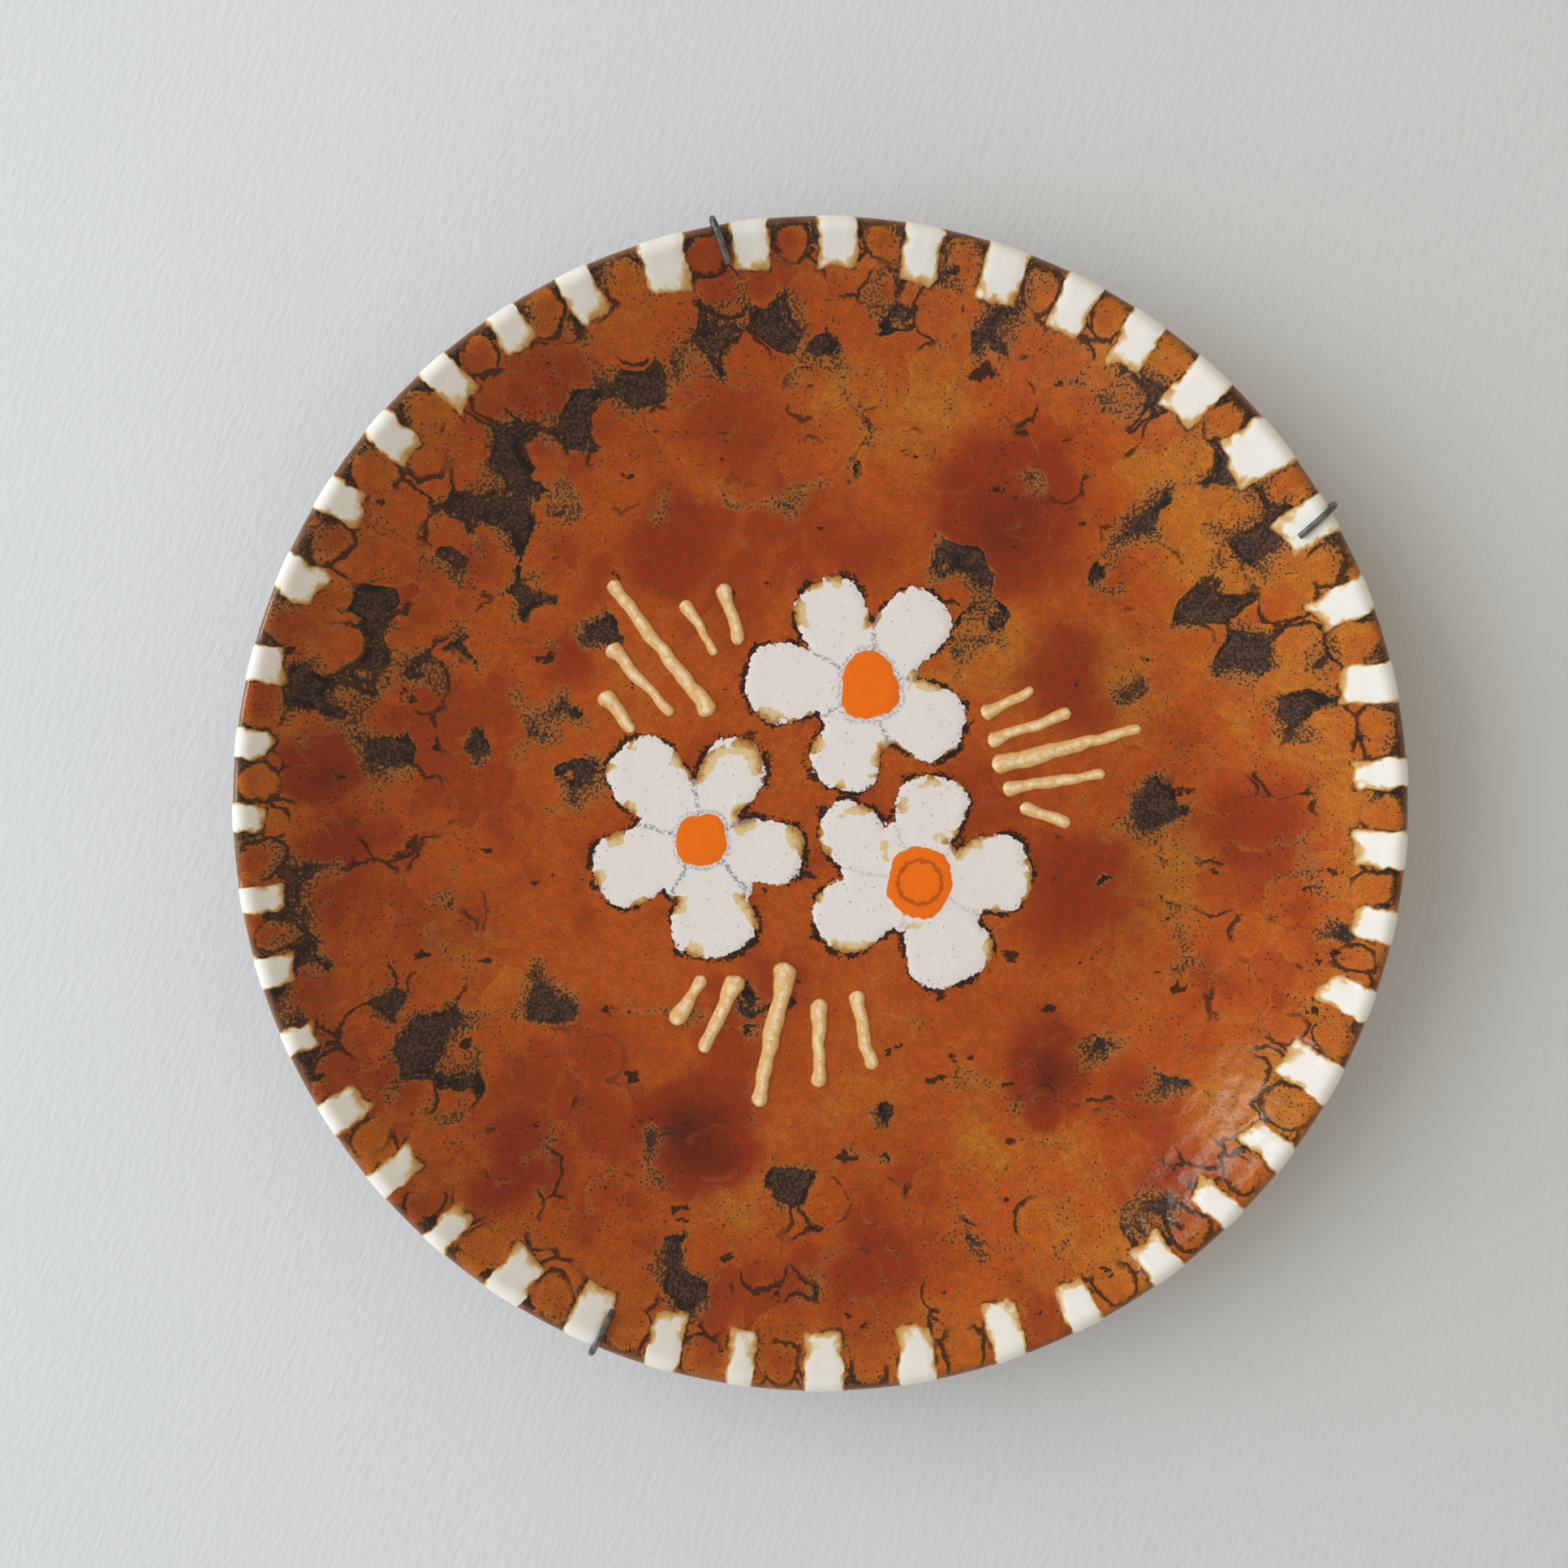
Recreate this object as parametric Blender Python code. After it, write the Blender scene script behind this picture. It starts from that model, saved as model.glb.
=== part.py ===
"""A glazed decorative wall plate in the sprung wire hanger that carries it on one nail.

The plate hangs upright: +Z is up, the face looks along -Y and the wall is on the +Y side.
The origin is where the nail bears, under the top of the hanger's eye.
A place on the plate is given as x and z across it, from its own centre, and as a height
towards the viewer, from the face of its foot ring. A bearing is turned from +x towards +z.
"""

import math

import bmesh
import bpy
from mathutils import Vector

# Plate: body and foot
PLATE_RADIUS = 0.135
PLATE_HEIGHT = 0.034
FLOOR_THICKNESS = 0.006
FLOOR_DISH = 0.001
WELL_RADIUS = 0.085
RIM_SLOPE = math.radians(31)
WALL_THICKNESS = 0.0052
LIP_THICKNESS = 0.0048
FOOT_INSET = 0.007
FOOT_WIDTH = 0.006
FOOT_HEIGHT = 0.0065
FOOT_ROUND = 0.0006

# Thick glaze dabs that go round the rim and over the lip
DAB_COUNT = 43
DAB_WIDTH = 0.0078
DAB_LENGTH = 0.0095
DAB_RISE = 0.0005
DAB_EDGE = 0.0010
FIRST_DAB = math.radians(113.4)

# Trailed slip strokes: three fans of raised, tapering lines on the floor.
# Each stroke starts at its thick end: the radius and bearing of that end, the stroke's own
# bearing, its length, and its width at the start and at the end.
DECOR_TURN = 25
SLIP_RISE = 0.0010
SLIP_ROOT = 0.0012
SLIP_STROKES = (
    # Upper left fan
    (0.033, 141, 127, 0.040, 0.0042, 0.0030),
    (0.063, 143, -48, 0.023, 0.0038, 0.0023),
    (0.058, 153, -52, 0.012, 0.0040, 0.0016),
    (0.058, 124, -59, 0.015, 0.0034, 0.0018),
    (0.057, 114, -73, 0.015, 0.0034, 0.0026),
    # Right fan
    (0.044, 28, 28, 0.014, 0.0036, 0.0018),
    (0.043, 20, 19, 0.021, 0.0034, 0.0025),
    (0.042, 12, 14, 0.037, 0.0050, 0.0022),
    (0.044, 4, 9, 0.025, 0.0034, 0.0023),
    (0.048, -1, -19, 0.013, 0.0032, 0.0028),
    # Lower fan
    (0.063, -123, 60, 0.013, 0.0042, 0.0023),
    (0.045, -115, -116, 0.021, 0.0046, 0.0024),
    (0.039, -101, -102, 0.035, 0.0048, 0.0034),
    (0.047, -90, -90, 0.021, 0.0038, 0.0031),
    (0.046, -79, -78, 0.019, 0.0037, 0.0031),
)

# Hanger: its wire, its three claws and the eye for the nail
CLEARANCE = 0.0003
WIRE_DIAMETER = 0.0015
CLAW_LENGTH = 0.0092
CLAW_FIT = 0.0004
KNEE_DEPTH = 0.0095
KNEE_ROUND = 0.0030
UPPER_CLAW_SPREAD = math.radians(35.2)
LEFT_CLAW_SKEW = math.radians(9.5)
RIGHT_CLAW_SKEW = math.radians(13.3)
LOWER_CLAW_BEARING = math.radians(272.5)
LOWER_CLAW_SKEW = math.radians(-4.6)
EYE_BORE = 0.010
EYE_STAND_OFF = 0.013
EYE_SETBACK = 0.002
LOWER_EYE_BORE = 0.0036
LOWER_EYE_NECK = 0.0064
LOWER_EYE_START = math.radians(-60)
LOWER_EYE_SWEEP = math.radians(285)

# Hanger: tension spring
SPRING_WIRE_DIAMETER = 0.0009
SPRING_DIAMETER = 0.0062
SPRING_TURNS = 18
SPRING_LENGTH = 0.056
SPRING_INSET = 0.008
SPRING_SHANK = 0.006
SPRING_HOOK_TAIL = 0.0028

# How finely each shape is cut
FLOOR_RING_SHARES = (0.35, 0.7)
FACE_STEPS = 5
LIP_STEPS = 4
BACK_STEPS = 4
BACK_SEARCH_STEPS = 40
STROKE_RINGS = 6
STROKE_SIDES = 3
CLAW_STEPS = 8
KNEE_STEPS = 3
RUN_STEPS = 8
EYE_STEPS = 20
LOWER_EYE_STEPS = 12
HOOK_STEPS = 6
COIL_STEPS = 8
WIRE_BEVEL_STEPS = 2
SPRING_BEVEL_STEPS = 1
SHARP_EDGE = math.radians(50)

# Colours, roughness and metallic value of each piece
GLAZE_LOOK = ((0.30, 0.065, 0.015, 1.0), 0.15, 0.0)
WIRE_LOOK = ((0.16, 0.16, 0.17, 1.0), 0.35, 1.0)
SPRING_LOOK = ((0.22, 0.22, 0.23, 1.0), 0.30, 1.0)

WIRE_RADIUS = WIRE_DIAMETER / 2
SPRING_WIRE_RADIUS = SPRING_WIRE_DIAMETER / 2
LIP_RADIUS = LIP_THICKNESS / 2
LIP_CENTRE_RADIUS = PLATE_RADIUS - LIP_RADIUS
LIP_CENTRE_HEIGHT = PLATE_HEIGHT - LIP_RADIUS
FLOOR_HEIGHT = FOOT_HEIGHT + FLOOR_THICKNESS
FOOT_RADIUS = WELL_RADIUS - FOOT_INSET
FOOT_INNER_RADIUS = FOOT_RADIUS - FOOT_WIDTH
EYE_BASE = FOOT_RADIUS + EYE_STAND_OFF
PLATE_CENTRE_Z = -(EYE_BASE + WIRE_RADIUS + EYE_BORE)
STRAND_STEP = WIRE_DIAMETER + 2 * CLEARANCE
# The wires are drawn tight over the face of the foot ring, at this height
TIGHT_HEIGHT = -(WIRE_RADIUS + CLEARANCE)


def place(x, z, height):
    """A point of the plate, in the frame of the whole object."""
    return Vector((x, EYE_SETBACK - height, PLATE_CENTRE_Z + z))


def polar(radius, bearing):
    """x and z of a point at this distance and bearing from the plate's centre."""
    return Vector((radius * math.cos(bearing), radius * math.sin(bearing)))


# Profile of the plate

RIM_START_HEIGHT = FLOOR_HEIGHT + FLOOR_DISH
RIM_RUN = LIP_CENTRE_RADIUS - LIP_RADIUS * math.sin(RIM_SLOPE) - WELL_RADIUS
RIM_RISE = LIP_CENTRE_HEIGHT + LIP_RADIUS * math.cos(RIM_SLOPE) - RIM_START_HEIGHT


def rim_point(share):
    """(radius, height, slope) of the rim's face, from the well at 0 to the lip at 1.

    It leaves the well level and reaches the lip at the rim's slope.
    """
    pull = RIM_RUN * math.tan(RIM_SLOPE)
    rise = RIM_RISE * (3 * share**2 - 2 * share**3) + pull * (share**3 - share**2)
    gain = RIM_RISE * (6 * share - 6 * share**2) + pull * (3 * share**2 - 2 * share)
    return WELL_RADIUS + RIM_RUN * share, RIM_START_HEIGHT + rise, math.atan(gain / RIM_RUN)


def rim_back_point(share):
    """(radius, height) of the rim's underside, a wall's thickness behind its face."""
    radius, height, slope = rim_point(share)
    wall = WALL_THICKNESS + (LIP_THICKNESS - WALL_THICKNESS) * share
    return radius + wall * math.sin(slope), height - wall * math.cos(slope)


def rim_share(radius):
    """How far along the rim's face this radius is, from 0 to 1."""
    return (radius - WELL_RADIUS) / RIM_RUN


def face_height(radius):
    """Height of the plate's face at this radius, inside the lip."""
    if radius <= WELL_RADIUS:
        return FLOOR_HEIGHT + FLOOR_DISH * (radius / WELL_RADIUS) ** 2
    return rim_point(min(1.0, rim_share(radius)))[1]


def back_height(radius):
    """Height of the rim's underside at this radius, outside the foot."""
    near = rim_back_point(0)
    for step in range(1, BACK_SEARCH_STEPS + 1):
        far = rim_back_point(step / BACK_SEARCH_STEPS)
        if far[0] >= radius:
            share = max(0.0, (radius - near[0]) / (far[0] - near[0]))
            return near[1] + (far[1] - near[1]) * share
        near = far
    return near[1]


# Mesh of the plate


def ring(bm, radius, height, count):
    """A ring of evenly spaced points, starting in the middle of the first dab."""
    points = []
    for index in range(count):
        x, z = polar(radius, FIRST_DAB + math.tau * index / count)
        points.append(bm.verts.new(place(x, z, height)))
    return points


def dab_ring(bm, radius, height, lean, raised):
    """A ring with four points to a dab, the middle two lifted along the surface's normal.

    lean is the angle of the normal from the plate's axis, outwards.
    """
    half = DAB_WIDTH / 2 / PLATE_RADIUS
    edge = half + DAB_EDGE / PLATE_RADIUS
    lift = DAB_RISE if raised else 0.0
    points = []
    for dab in range(DAB_COUNT):
        middle = FIRST_DAB + math.tau * dab / DAB_COUNT
        for turn, rise in ((-edge, 0.0), (-half, lift), (half, lift), (edge, 0.0)):
            x, z = polar(radius + rise * math.sin(lean), middle + turn)
            points.append(bm.verts.new(place(x, z, height + rise * math.cos(lean))))
    return points


def join_rings(bm, first, second):
    """Faces between two rings; one may have twice as many points as the other."""
    if len(first) == len(second):
        for i in range(len(first)):
            j = (i + 1) % len(first)
            bm.faces.new((first[i], first[j], second[j], second[i]))
        return
    few, many = sorted((first, second), key=len)
    for i in range(len(few)):
        j = (i + 1) % len(few)
        left, middle, right = (many[(2 * i + k) % len(many)] for k in range(3))
        bm.faces.new((few[i], middle, left))
        bm.faces.new((few[i], few[j], middle))
        bm.faces.new((few[j], right, middle))


def close_ring(bm, points, height):
    """A fan of faces from a ring to the plate's axis."""
    middle = bm.verts.new(place(0, 0, height))
    for i in range(len(points)):
        bm.faces.new((points[i], points[(i + 1) % len(points)], middle))


def face_rings(bm):
    """Rings over the face, from the middle of the floor to the inner ends of the dabs."""
    rings = []
    for share in FLOOR_RING_SHARES:
        radius = WELL_RADIUS * share
        rings.append(ring(bm, radius, face_height(radius), DAB_COUNT))
    rings.append(ring(bm, WELL_RADIUS, face_height(WELL_RADIUS), 2 * DAB_COUNT))
    dab_start = rim_share(PLATE_RADIUS - DAB_LENGTH - DAB_EDGE)
    for step in range(1, FACE_STEPS):
        radius, height, _ = rim_point(dab_start * step / FACE_STEPS)
        rings.append(ring(bm, radius, height, 2 * DAB_COUNT))
    return rings


def lip_rings(bm):
    """Rings along the dabs and round the lip, from the face to the underside."""
    rings = []
    for inset, raised in ((DAB_LENGTH + DAB_EDGE, False), (DAB_LENGTH, True), (DAB_LENGTH / 2, True)):
        radius, height, slope = rim_point(rim_share(PLATE_RADIUS - inset))
        rings.append(dab_ring(bm, radius, height, -slope, raised))
    for step in range(LIP_STEPS + 1):
        lean = -RIM_SLOPE + math.pi * step / LIP_STEPS
        radius = LIP_CENTRE_RADIUS + LIP_RADIUS * math.sin(lean)
        height = LIP_CENTRE_HEIGHT + LIP_RADIUS * math.cos(lean)
        rings.append(dab_ring(bm, radius, height, lean, lean < math.pi / 2))
    return rings


def back_rings(bm):
    """Rings over the underside and round the foot, from the lip to the recess."""
    rings = []
    for step in range(BACK_STEPS - 1, -1, -1):
        radius, height = rim_back_point(step / BACK_STEPS)
        rings.append(ring(bm, radius, height, 2 * DAB_COUNT))
    foot = (
        (FOOT_RADIUS + FOOT_ROUND, rim_back_point(0)[1]),
        (FOOT_RADIUS, FOOT_ROUND),
        (FOOT_RADIUS - FOOT_ROUND, 0.0),
        (FOOT_INNER_RADIUS + FOOT_ROUND, 0.0),
        (FOOT_INNER_RADIUS, FOOT_ROUND),
        (FOOT_INNER_RADIUS - FOOT_ROUND, FOOT_HEIGHT),
    )
    for radius, height in foot:
        rings.append(ring(bm, radius, height, 2 * DAB_COUNT))
    return rings


def plate_mesh():
    """The plate's body with its dabs, as one closed mesh."""
    bm = bmesh.new()
    rings = face_rings(bm) + lip_rings(bm) + back_rings(bm)
    for first, second in zip(rings, rings[1:]):
        join_rings(bm, first, second)
    close_ring(bm, rings[0], FLOOR_HEIGHT)
    close_ring(bm, rings[-1], FOOT_HEIGHT)
    return finish_mesh("plate", bm)


# Slip strokes


def add_stroke(bm, start, bearing, length, widths):
    """One low rounded bar of slip, with its root inside the floor."""
    along = polar(1.0, bearing)
    aside = Vector((-along.y, along.x))
    rings = []
    for step in range(STROKE_RINGS):
        share = step / (STROKE_RINGS - 1)
        end_round = math.sin(math.pi * (0.1 + 0.8 * share)) ** 0.5
        half = (widths[0] + (widths[1] - widths[0]) * share) / 2 * end_round
        middle = start + along * length * share
        base = face_height(middle.length)
        section = [(half, -SLIP_ROOT)]
        for side in range(STROKE_SIDES + 1):
            angle = math.pi * side / STROKE_SIDES
            section.append((half * math.cos(angle), SLIP_RISE * end_round * math.sin(angle)))
        section.append((-half, -SLIP_ROOT))
        points = []
        for step_aside, rise in section:
            spot = middle + aside * step_aside
            points.append(bm.verts.new(place(spot.x, spot.y, base + rise)))
        rings.append(points)
    for first, second in zip(rings, rings[1:]):
        join_rings(bm, first, second)
    bm.faces.new(rings[0])
    bm.faces.new(rings[-1])


def slip_mesh():
    """All the strokes of the three fans."""
    bm = bmesh.new()
    for radius, start_bearing, bearing, length, *widths in SLIP_STROKES:
        start = polar(radius, math.radians(start_bearing + DECOR_TURN))
        add_stroke(bm, start, math.radians(bearing + DECOR_TURN), length, widths)
    return finish_mesh("slip_strokes", bm)


# Paths of the hanger


def under_rim(spot, height):
    """This place, moved off the rim's underside where that bulges into the wire's way."""
    room = (WIRE_RADIUS + CLEARANCE) / math.cos(RIM_SLOPE)
    return place(spot.x, spot.y, min(height, back_height(spot.length) - room))


def rounded_corner(before, corner, after, radius, steps):
    """Points of a corner, rounded off over this distance on each side of it."""
    start = corner + (before - corner).normalized() * radius
    end = corner + (after - corner).normalized() * radius
    points = []
    for step in range(steps + 1):
        t = step / steps
        points.append(start * (1 - t) ** 2 + corner * 2 * t * (1 - t) + end * t**2)
    return points


def claw_path(bearing, skew, goal, goal_height):
    """A wire from a claw's tip, over the lip and behind the rim, to just before its goal.

    skew turns the claw's leg from the plate's radius. The wire goes straight back under the
    rim to a knee, and from there it is drawn tight to the goal.
    """
    lip = polar(LIP_CENTRE_RADIUS, bearing)
    out = polar(1.0, bearing + skew)
    gap = DAB_RISE + CLAW_FIT + WIRE_RADIUS
    tip = lip - out * (CLAW_LENGTH - LIP_RADIUS)
    path = [place(tip.x, tip.y, face_height(tip.length) + gap / math.cos(RIM_SLOPE))]
    reach = LIP_RADIUS + gap
    for step in range(CLAW_STEPS + 1):
        lean = -RIM_SLOPE + math.pi * step / CLAW_STEPS
        spot = lip + out * reach * math.sin(lean)
        path.append(place(spot.x, spot.y, LIP_CENTRE_HEIGHT + reach * math.cos(lean)))
    knee_spot = lip - out * KNEE_DEPTH
    knee = under_rim(knee_spot, LIP_CENTRE_HEIGHT)
    knee_height = EYE_SETBACK - knee.y
    run = []
    for step in range(1, RUN_STEPS):
        share = step / RUN_STEPS
        height = knee_height + (goal_height - knee_height) * share
        run.append(under_rim(knee_spot.lerp(goal, share), height))
    path += rounded_corner(path[-1], knee, run[0], KNEE_ROUND, KNEE_STEPS)
    return path + run


def top_hanger_path():
    """The upper wire: two claws, and between them one turn that makes the nail's eye."""
    base = Vector((0.0, EYE_BASE))
    middle_bearing = math.pi / 2
    left = middle_bearing + UPPER_CLAW_SPREAD
    right = middle_bearing - UPPER_CLAW_SPREAD
    half_step = STRAND_STEP / 2
    path = claw_path(left, LEFT_CLAW_SKEW, base, EYE_SETBACK + half_step)
    eye_radius = EYE_BORE / 2 + WIRE_RADIUS
    for step in range(EYE_STEPS + 1):
        share = step / EYE_STEPS
        spot = base + Vector((0.0, eye_radius)) + polar(eye_radius, math.tau * (share - 0.25))
        path.append(place(spot.x, spot.y, EYE_SETBACK + half_step - STRAND_STEP * share))
    back = claw_path(right, RIGHT_CLAW_SKEW, base, EYE_SETBACK - half_step)
    return path + back[::-1]


def hook_turn(centre_z, centre_height, half_depth, half_rise, start, sweep):
    """A hook's bend round a strand, in the plane of the spring's axis.

    start and sweep are angles, from the viewer's side towards the plate's top.
    """
    path = []
    for step in range(HOOK_STEPS + 1):
        angle = start + sweep * step / HOOK_STEPS
        z = centre_z + half_rise * math.sin(angle)
        path.append(place(0.0, z, centre_height + half_depth * math.cos(angle)))
    return path


COIL_TOP = FOOT_INNER_RADIUS - SPRING_INSET
COIL_BOTTOM = COIL_TOP - SPRING_LENGTH
LOWER_EYE_TOP = COIL_BOTTOM - SPRING_SHANK
HOOK_ROOM = WIRE_RADIUS + CLEARANCE + SPRING_WIRE_RADIUS


def coil_path():
    """The coil's points, from its top down, with its first and last half turns closing in."""
    coil_radius = (SPRING_DIAMETER - SPRING_WIRE_DIAMETER) / 2
    count = SPRING_TURNS * COIL_STEPS
    path = []
    for step in range(count + 1):
        from_end = min(step, count - step) / (COIL_STEPS / 2)
        offset = polar(coil_radius * min(1.0, from_end), math.tau * step / COIL_STEPS)
        z = COIL_TOP - SPRING_LENGTH * step / count
        path.append(place(offset.x, z, TIGHT_HEIGHT + offset.y))
    return path


def spring_path():
    """The spring: a hook in the nail's eye, a coil, and a hook in the lower wire's eye."""
    upper_depth = STRAND_STEP / 2 + HOOK_ROOM
    upper = hook_turn(EYE_BASE, EYE_SETBACK, upper_depth, HOOK_ROOM, 0.0, math.pi)
    upper_tail = upper[0] + Vector((0.0, 0.0, -SPRING_HOOK_TAIL))
    over_foot = place(0.0, FOOT_RADIUS + CLEARANCE, TIGHT_HEIGHT)
    lower = hook_turn(LOWER_EYE_TOP, TIGHT_HEIGHT, HOOK_ROOM, HOOK_ROOM, 0.0, -math.pi)
    lower_tail = lower[-1] + Vector((0.0, 0.0, SPRING_HOOK_TAIL))
    return [upper_tail, *upper, over_foot, *coil_path(), *lower, lower_tail]


def bottom_hook_path():
    """The lower wire: one claw, a run over the foot ring, and an eye for the spring."""
    foot_edge = Vector((0.0, -(FOOT_RADIUS + FOOT_ROUND)))
    path = claw_path(LOWER_CLAW_BEARING, LOWER_CLAW_SKEW, foot_edge, TIGHT_HEIGHT)
    path.append(place(foot_edge.x, foot_edge.y, TIGHT_HEIGHT))
    eye_radius = LOWER_EYE_BORE / 2 + WIRE_RADIUS
    centre = Vector((0.0, LOWER_EYE_TOP - eye_radius))
    path.append(place(0.0, centre.y - LOWER_EYE_NECK, TIGHT_HEIGHT))
    # The eye stops short of its own wire
    for step in range(LOWER_EYE_STEPS + 1):
        bearing = LOWER_EYE_START + LOWER_EYE_SWEEP * step / LOWER_EYE_STEPS
        spot = centre + polar(eye_radius, bearing)
        path.append(place(spot.x, spot.y, TIGHT_HEIGHT))
    return path


# Objects


def finish_mesh(name, bm):
    """A mesh from this bmesh, with its faces pointing out and shaded smooth between edges."""
    bmesh.ops.recalc_face_normals(bm, faces=bm.faces)
    mesh = bpy.data.meshes.new(name)
    bm.to_mesh(mesh)
    bm.free()
    mesh.shade_smooth()
    mesh.set_sharp_from_angle(angle=SHARP_EDGE)
    return mesh


def add_object(name, data):
    """A new object in the scene."""
    added = bpy.data.objects.new(name, data)
    bpy.context.collection.objects.link(added)
    return added


def add_wire(name, path, diameter, bevel_steps, material):
    """A round wire along this path, closed at both ends."""
    curve = bpy.data.curves.new(name, "CURVE")
    curve.dimensions = "3D"
    curve.bevel_depth = diameter / 2
    curve.bevel_resolution = bevel_steps
    curve.use_fill_caps = True
    spline = curve.splines.new("POLY")
    spline.points.add(len(path) - 1)
    for point, spot in zip(spline.points, path):
        point.co = (*spot, 1.0)
    spline.use_smooth = True
    curve.materials.append(material)
    return add_object(name, curve)


def make_material(name, look):
    """A material from its colour, roughness and metallic value."""
    colour, roughness, metallic = look
    material = bpy.data.materials.new(name)
    material.use_nodes = True
    shader = material.node_tree.nodes["Principled BSDF"]
    shader.inputs["Base Color"].default_value = colour
    shader.inputs["Roughness"].default_value = roughness
    shader.inputs["Metallic"].default_value = metallic
    material.diffuse_color = colour
    return material


def build_plate():
    """The plate, with its slip strokes joined on."""
    plate = add_object("plate", plate_mesh())
    plate.data.materials.append(make_material("glazed_pottery", GLAZE_LOOK))
    strokes = add_object("slip_strokes", slip_mesh())
    strokes.hide_render = True
    strokes.display_type = "WIRE"
    union = plate.modifiers.new("slip", "BOOLEAN")
    union.operation = "UNION"
    union.solver = "EXACT"
    union.object = strokes


def build_hanger():
    """The two wires and the spring that pulls them together across the plate's back."""
    wire = make_material("galvanised_wire", WIRE_LOOK)
    spring = make_material("spring_wire", SPRING_LOOK)
    add_wire("top_hanger_wire", top_hanger_path(), WIRE_DIAMETER, WIRE_BEVEL_STEPS, wire)
    add_wire("bottom_hook_wire", bottom_hook_path(), WIRE_DIAMETER, WIRE_BEVEL_STEPS, wire)
    add_wire("tension_spring", spring_path(), SPRING_WIRE_DIAMETER, SPRING_BEVEL_STEPS, spring)


def main():
    """Clear the scene and build the four pieces."""
    for old in list(bpy.data.objects):
        bpy.data.objects.remove(old)
    build_plate()
    build_hanger()


main()
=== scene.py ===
# %% [markdown]
# # A glazed wall plate in its wire hanger
# The plate is thrown pottery, about 27 cm across, with dabs of amber glaze over a dark ground,
# white dabs over the lip, three white flowers and fans of trailed slip. A sprung wire hanger
# holds it on one nail. This lesson dresses the plain solids of the part in shapes and finishes
# that are as rich as the real ones. It starts from the solids, so every piece has its place.

# %% Load the frame
import math

import bpy
from mathutils import Matrix, Vector


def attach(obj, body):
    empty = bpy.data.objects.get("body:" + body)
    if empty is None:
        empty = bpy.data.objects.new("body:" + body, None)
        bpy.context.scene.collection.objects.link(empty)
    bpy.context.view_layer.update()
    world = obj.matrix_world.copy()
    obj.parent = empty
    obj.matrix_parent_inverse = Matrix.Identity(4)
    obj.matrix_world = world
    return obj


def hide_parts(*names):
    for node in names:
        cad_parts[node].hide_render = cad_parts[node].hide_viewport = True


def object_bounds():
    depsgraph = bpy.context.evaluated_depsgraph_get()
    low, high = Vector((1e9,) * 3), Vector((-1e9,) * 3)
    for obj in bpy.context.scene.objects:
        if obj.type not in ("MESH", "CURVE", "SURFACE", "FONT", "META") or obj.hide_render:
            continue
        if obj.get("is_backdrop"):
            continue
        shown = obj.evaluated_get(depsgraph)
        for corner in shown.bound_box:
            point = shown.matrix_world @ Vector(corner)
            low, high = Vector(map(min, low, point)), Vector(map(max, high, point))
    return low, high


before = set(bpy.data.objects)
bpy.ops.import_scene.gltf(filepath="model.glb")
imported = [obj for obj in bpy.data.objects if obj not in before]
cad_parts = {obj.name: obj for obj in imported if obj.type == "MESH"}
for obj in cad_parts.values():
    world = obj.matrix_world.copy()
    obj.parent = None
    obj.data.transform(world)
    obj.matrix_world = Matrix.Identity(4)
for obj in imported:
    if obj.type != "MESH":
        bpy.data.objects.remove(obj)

cad_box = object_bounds()
print("nodes:", sorted(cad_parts))
print("box:", [tuple(round(v, 4) for v in corner) for corner in cad_box])

# %% [markdown]
# ## Where things are on a plate
# A potter works on a plate that lies flat, so places on it are given as x and z across it and
# a height above the face of its foot ring. On the wall the plate stands upright: its heights
# point at the viewer, along -Y. The nail carries the eye of the hanger at the origin, and the
# plate's centre hangs below it.

# %% Places on the plate
EYE_SETBACK = 0.002
PLATE_CENTRE_Z = -0.10175


def place(x, z, height):
    """A point of the plate, in the frame of the whole object."""
    return Vector((x, EYE_SETBACK - height, PLATE_CENTRE_Z + z))


def polar(radius, bearing):
    """x and z at this distance and bearing from the plate's centre."""
    return Vector((radius * math.cos(bearing), radius * math.sin(bearing)))


print("centre of the plate:", tuple(round(v, 4) for v in place(0, 0, 0)))

# %% [markdown]
# ## The camera
# The camera comes first, so that every look at the work is taken from the same place. It
# faces the plate squarely from half a metre, a little left of its centre. The plate hangs
# turned on its nail, so the camera is rolled to show it the way that the picture does.

# %% Set up the camera
DECOR_TURN = math.radians(25)
EYE_LINE = Vector((-0.00945, -0.512, -0.10125))
VIEW_WIDTH = 0.3588
VIEW_DISTANCE = 0.480

lens = bpy.data.cameras.new("view")
lens.sensor_width = 36
lens.lens = 36 * VIEW_DISTANCE / VIEW_WIDTH
lens.clip_start = 0.01
camera = bpy.data.objects.new("view", lens)
bpy.context.scene.collection.objects.link(camera)
across = Vector((math.cos(DECOR_TURN), 0, math.sin(DECOR_TURN)))
upwards = Vector((-math.sin(DECOR_TURN), 0, math.cos(DECOR_TURN)))
turn = Matrix((across, upwards, Vector((0, -1, 0)))).transposed()
camera.matrix_world = Matrix.Translation(EYE_LINE) @ turn.to_4x4()
bpy.context.scene.camera = camera
print("lens:", round(lens.lens, 2), "mm")

# %% [markdown]
# ## Writing node trees
# Geometry Nodes shape the pieces here and shader nodes colour them. Many of the nodes are the
# same in both, so one small helper writes either kind of tree. Each call adds one node, feeds
# its sockets and hands back the output, and a recipe reads as a list of steps.

# %% A helper that writes nodes


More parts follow.
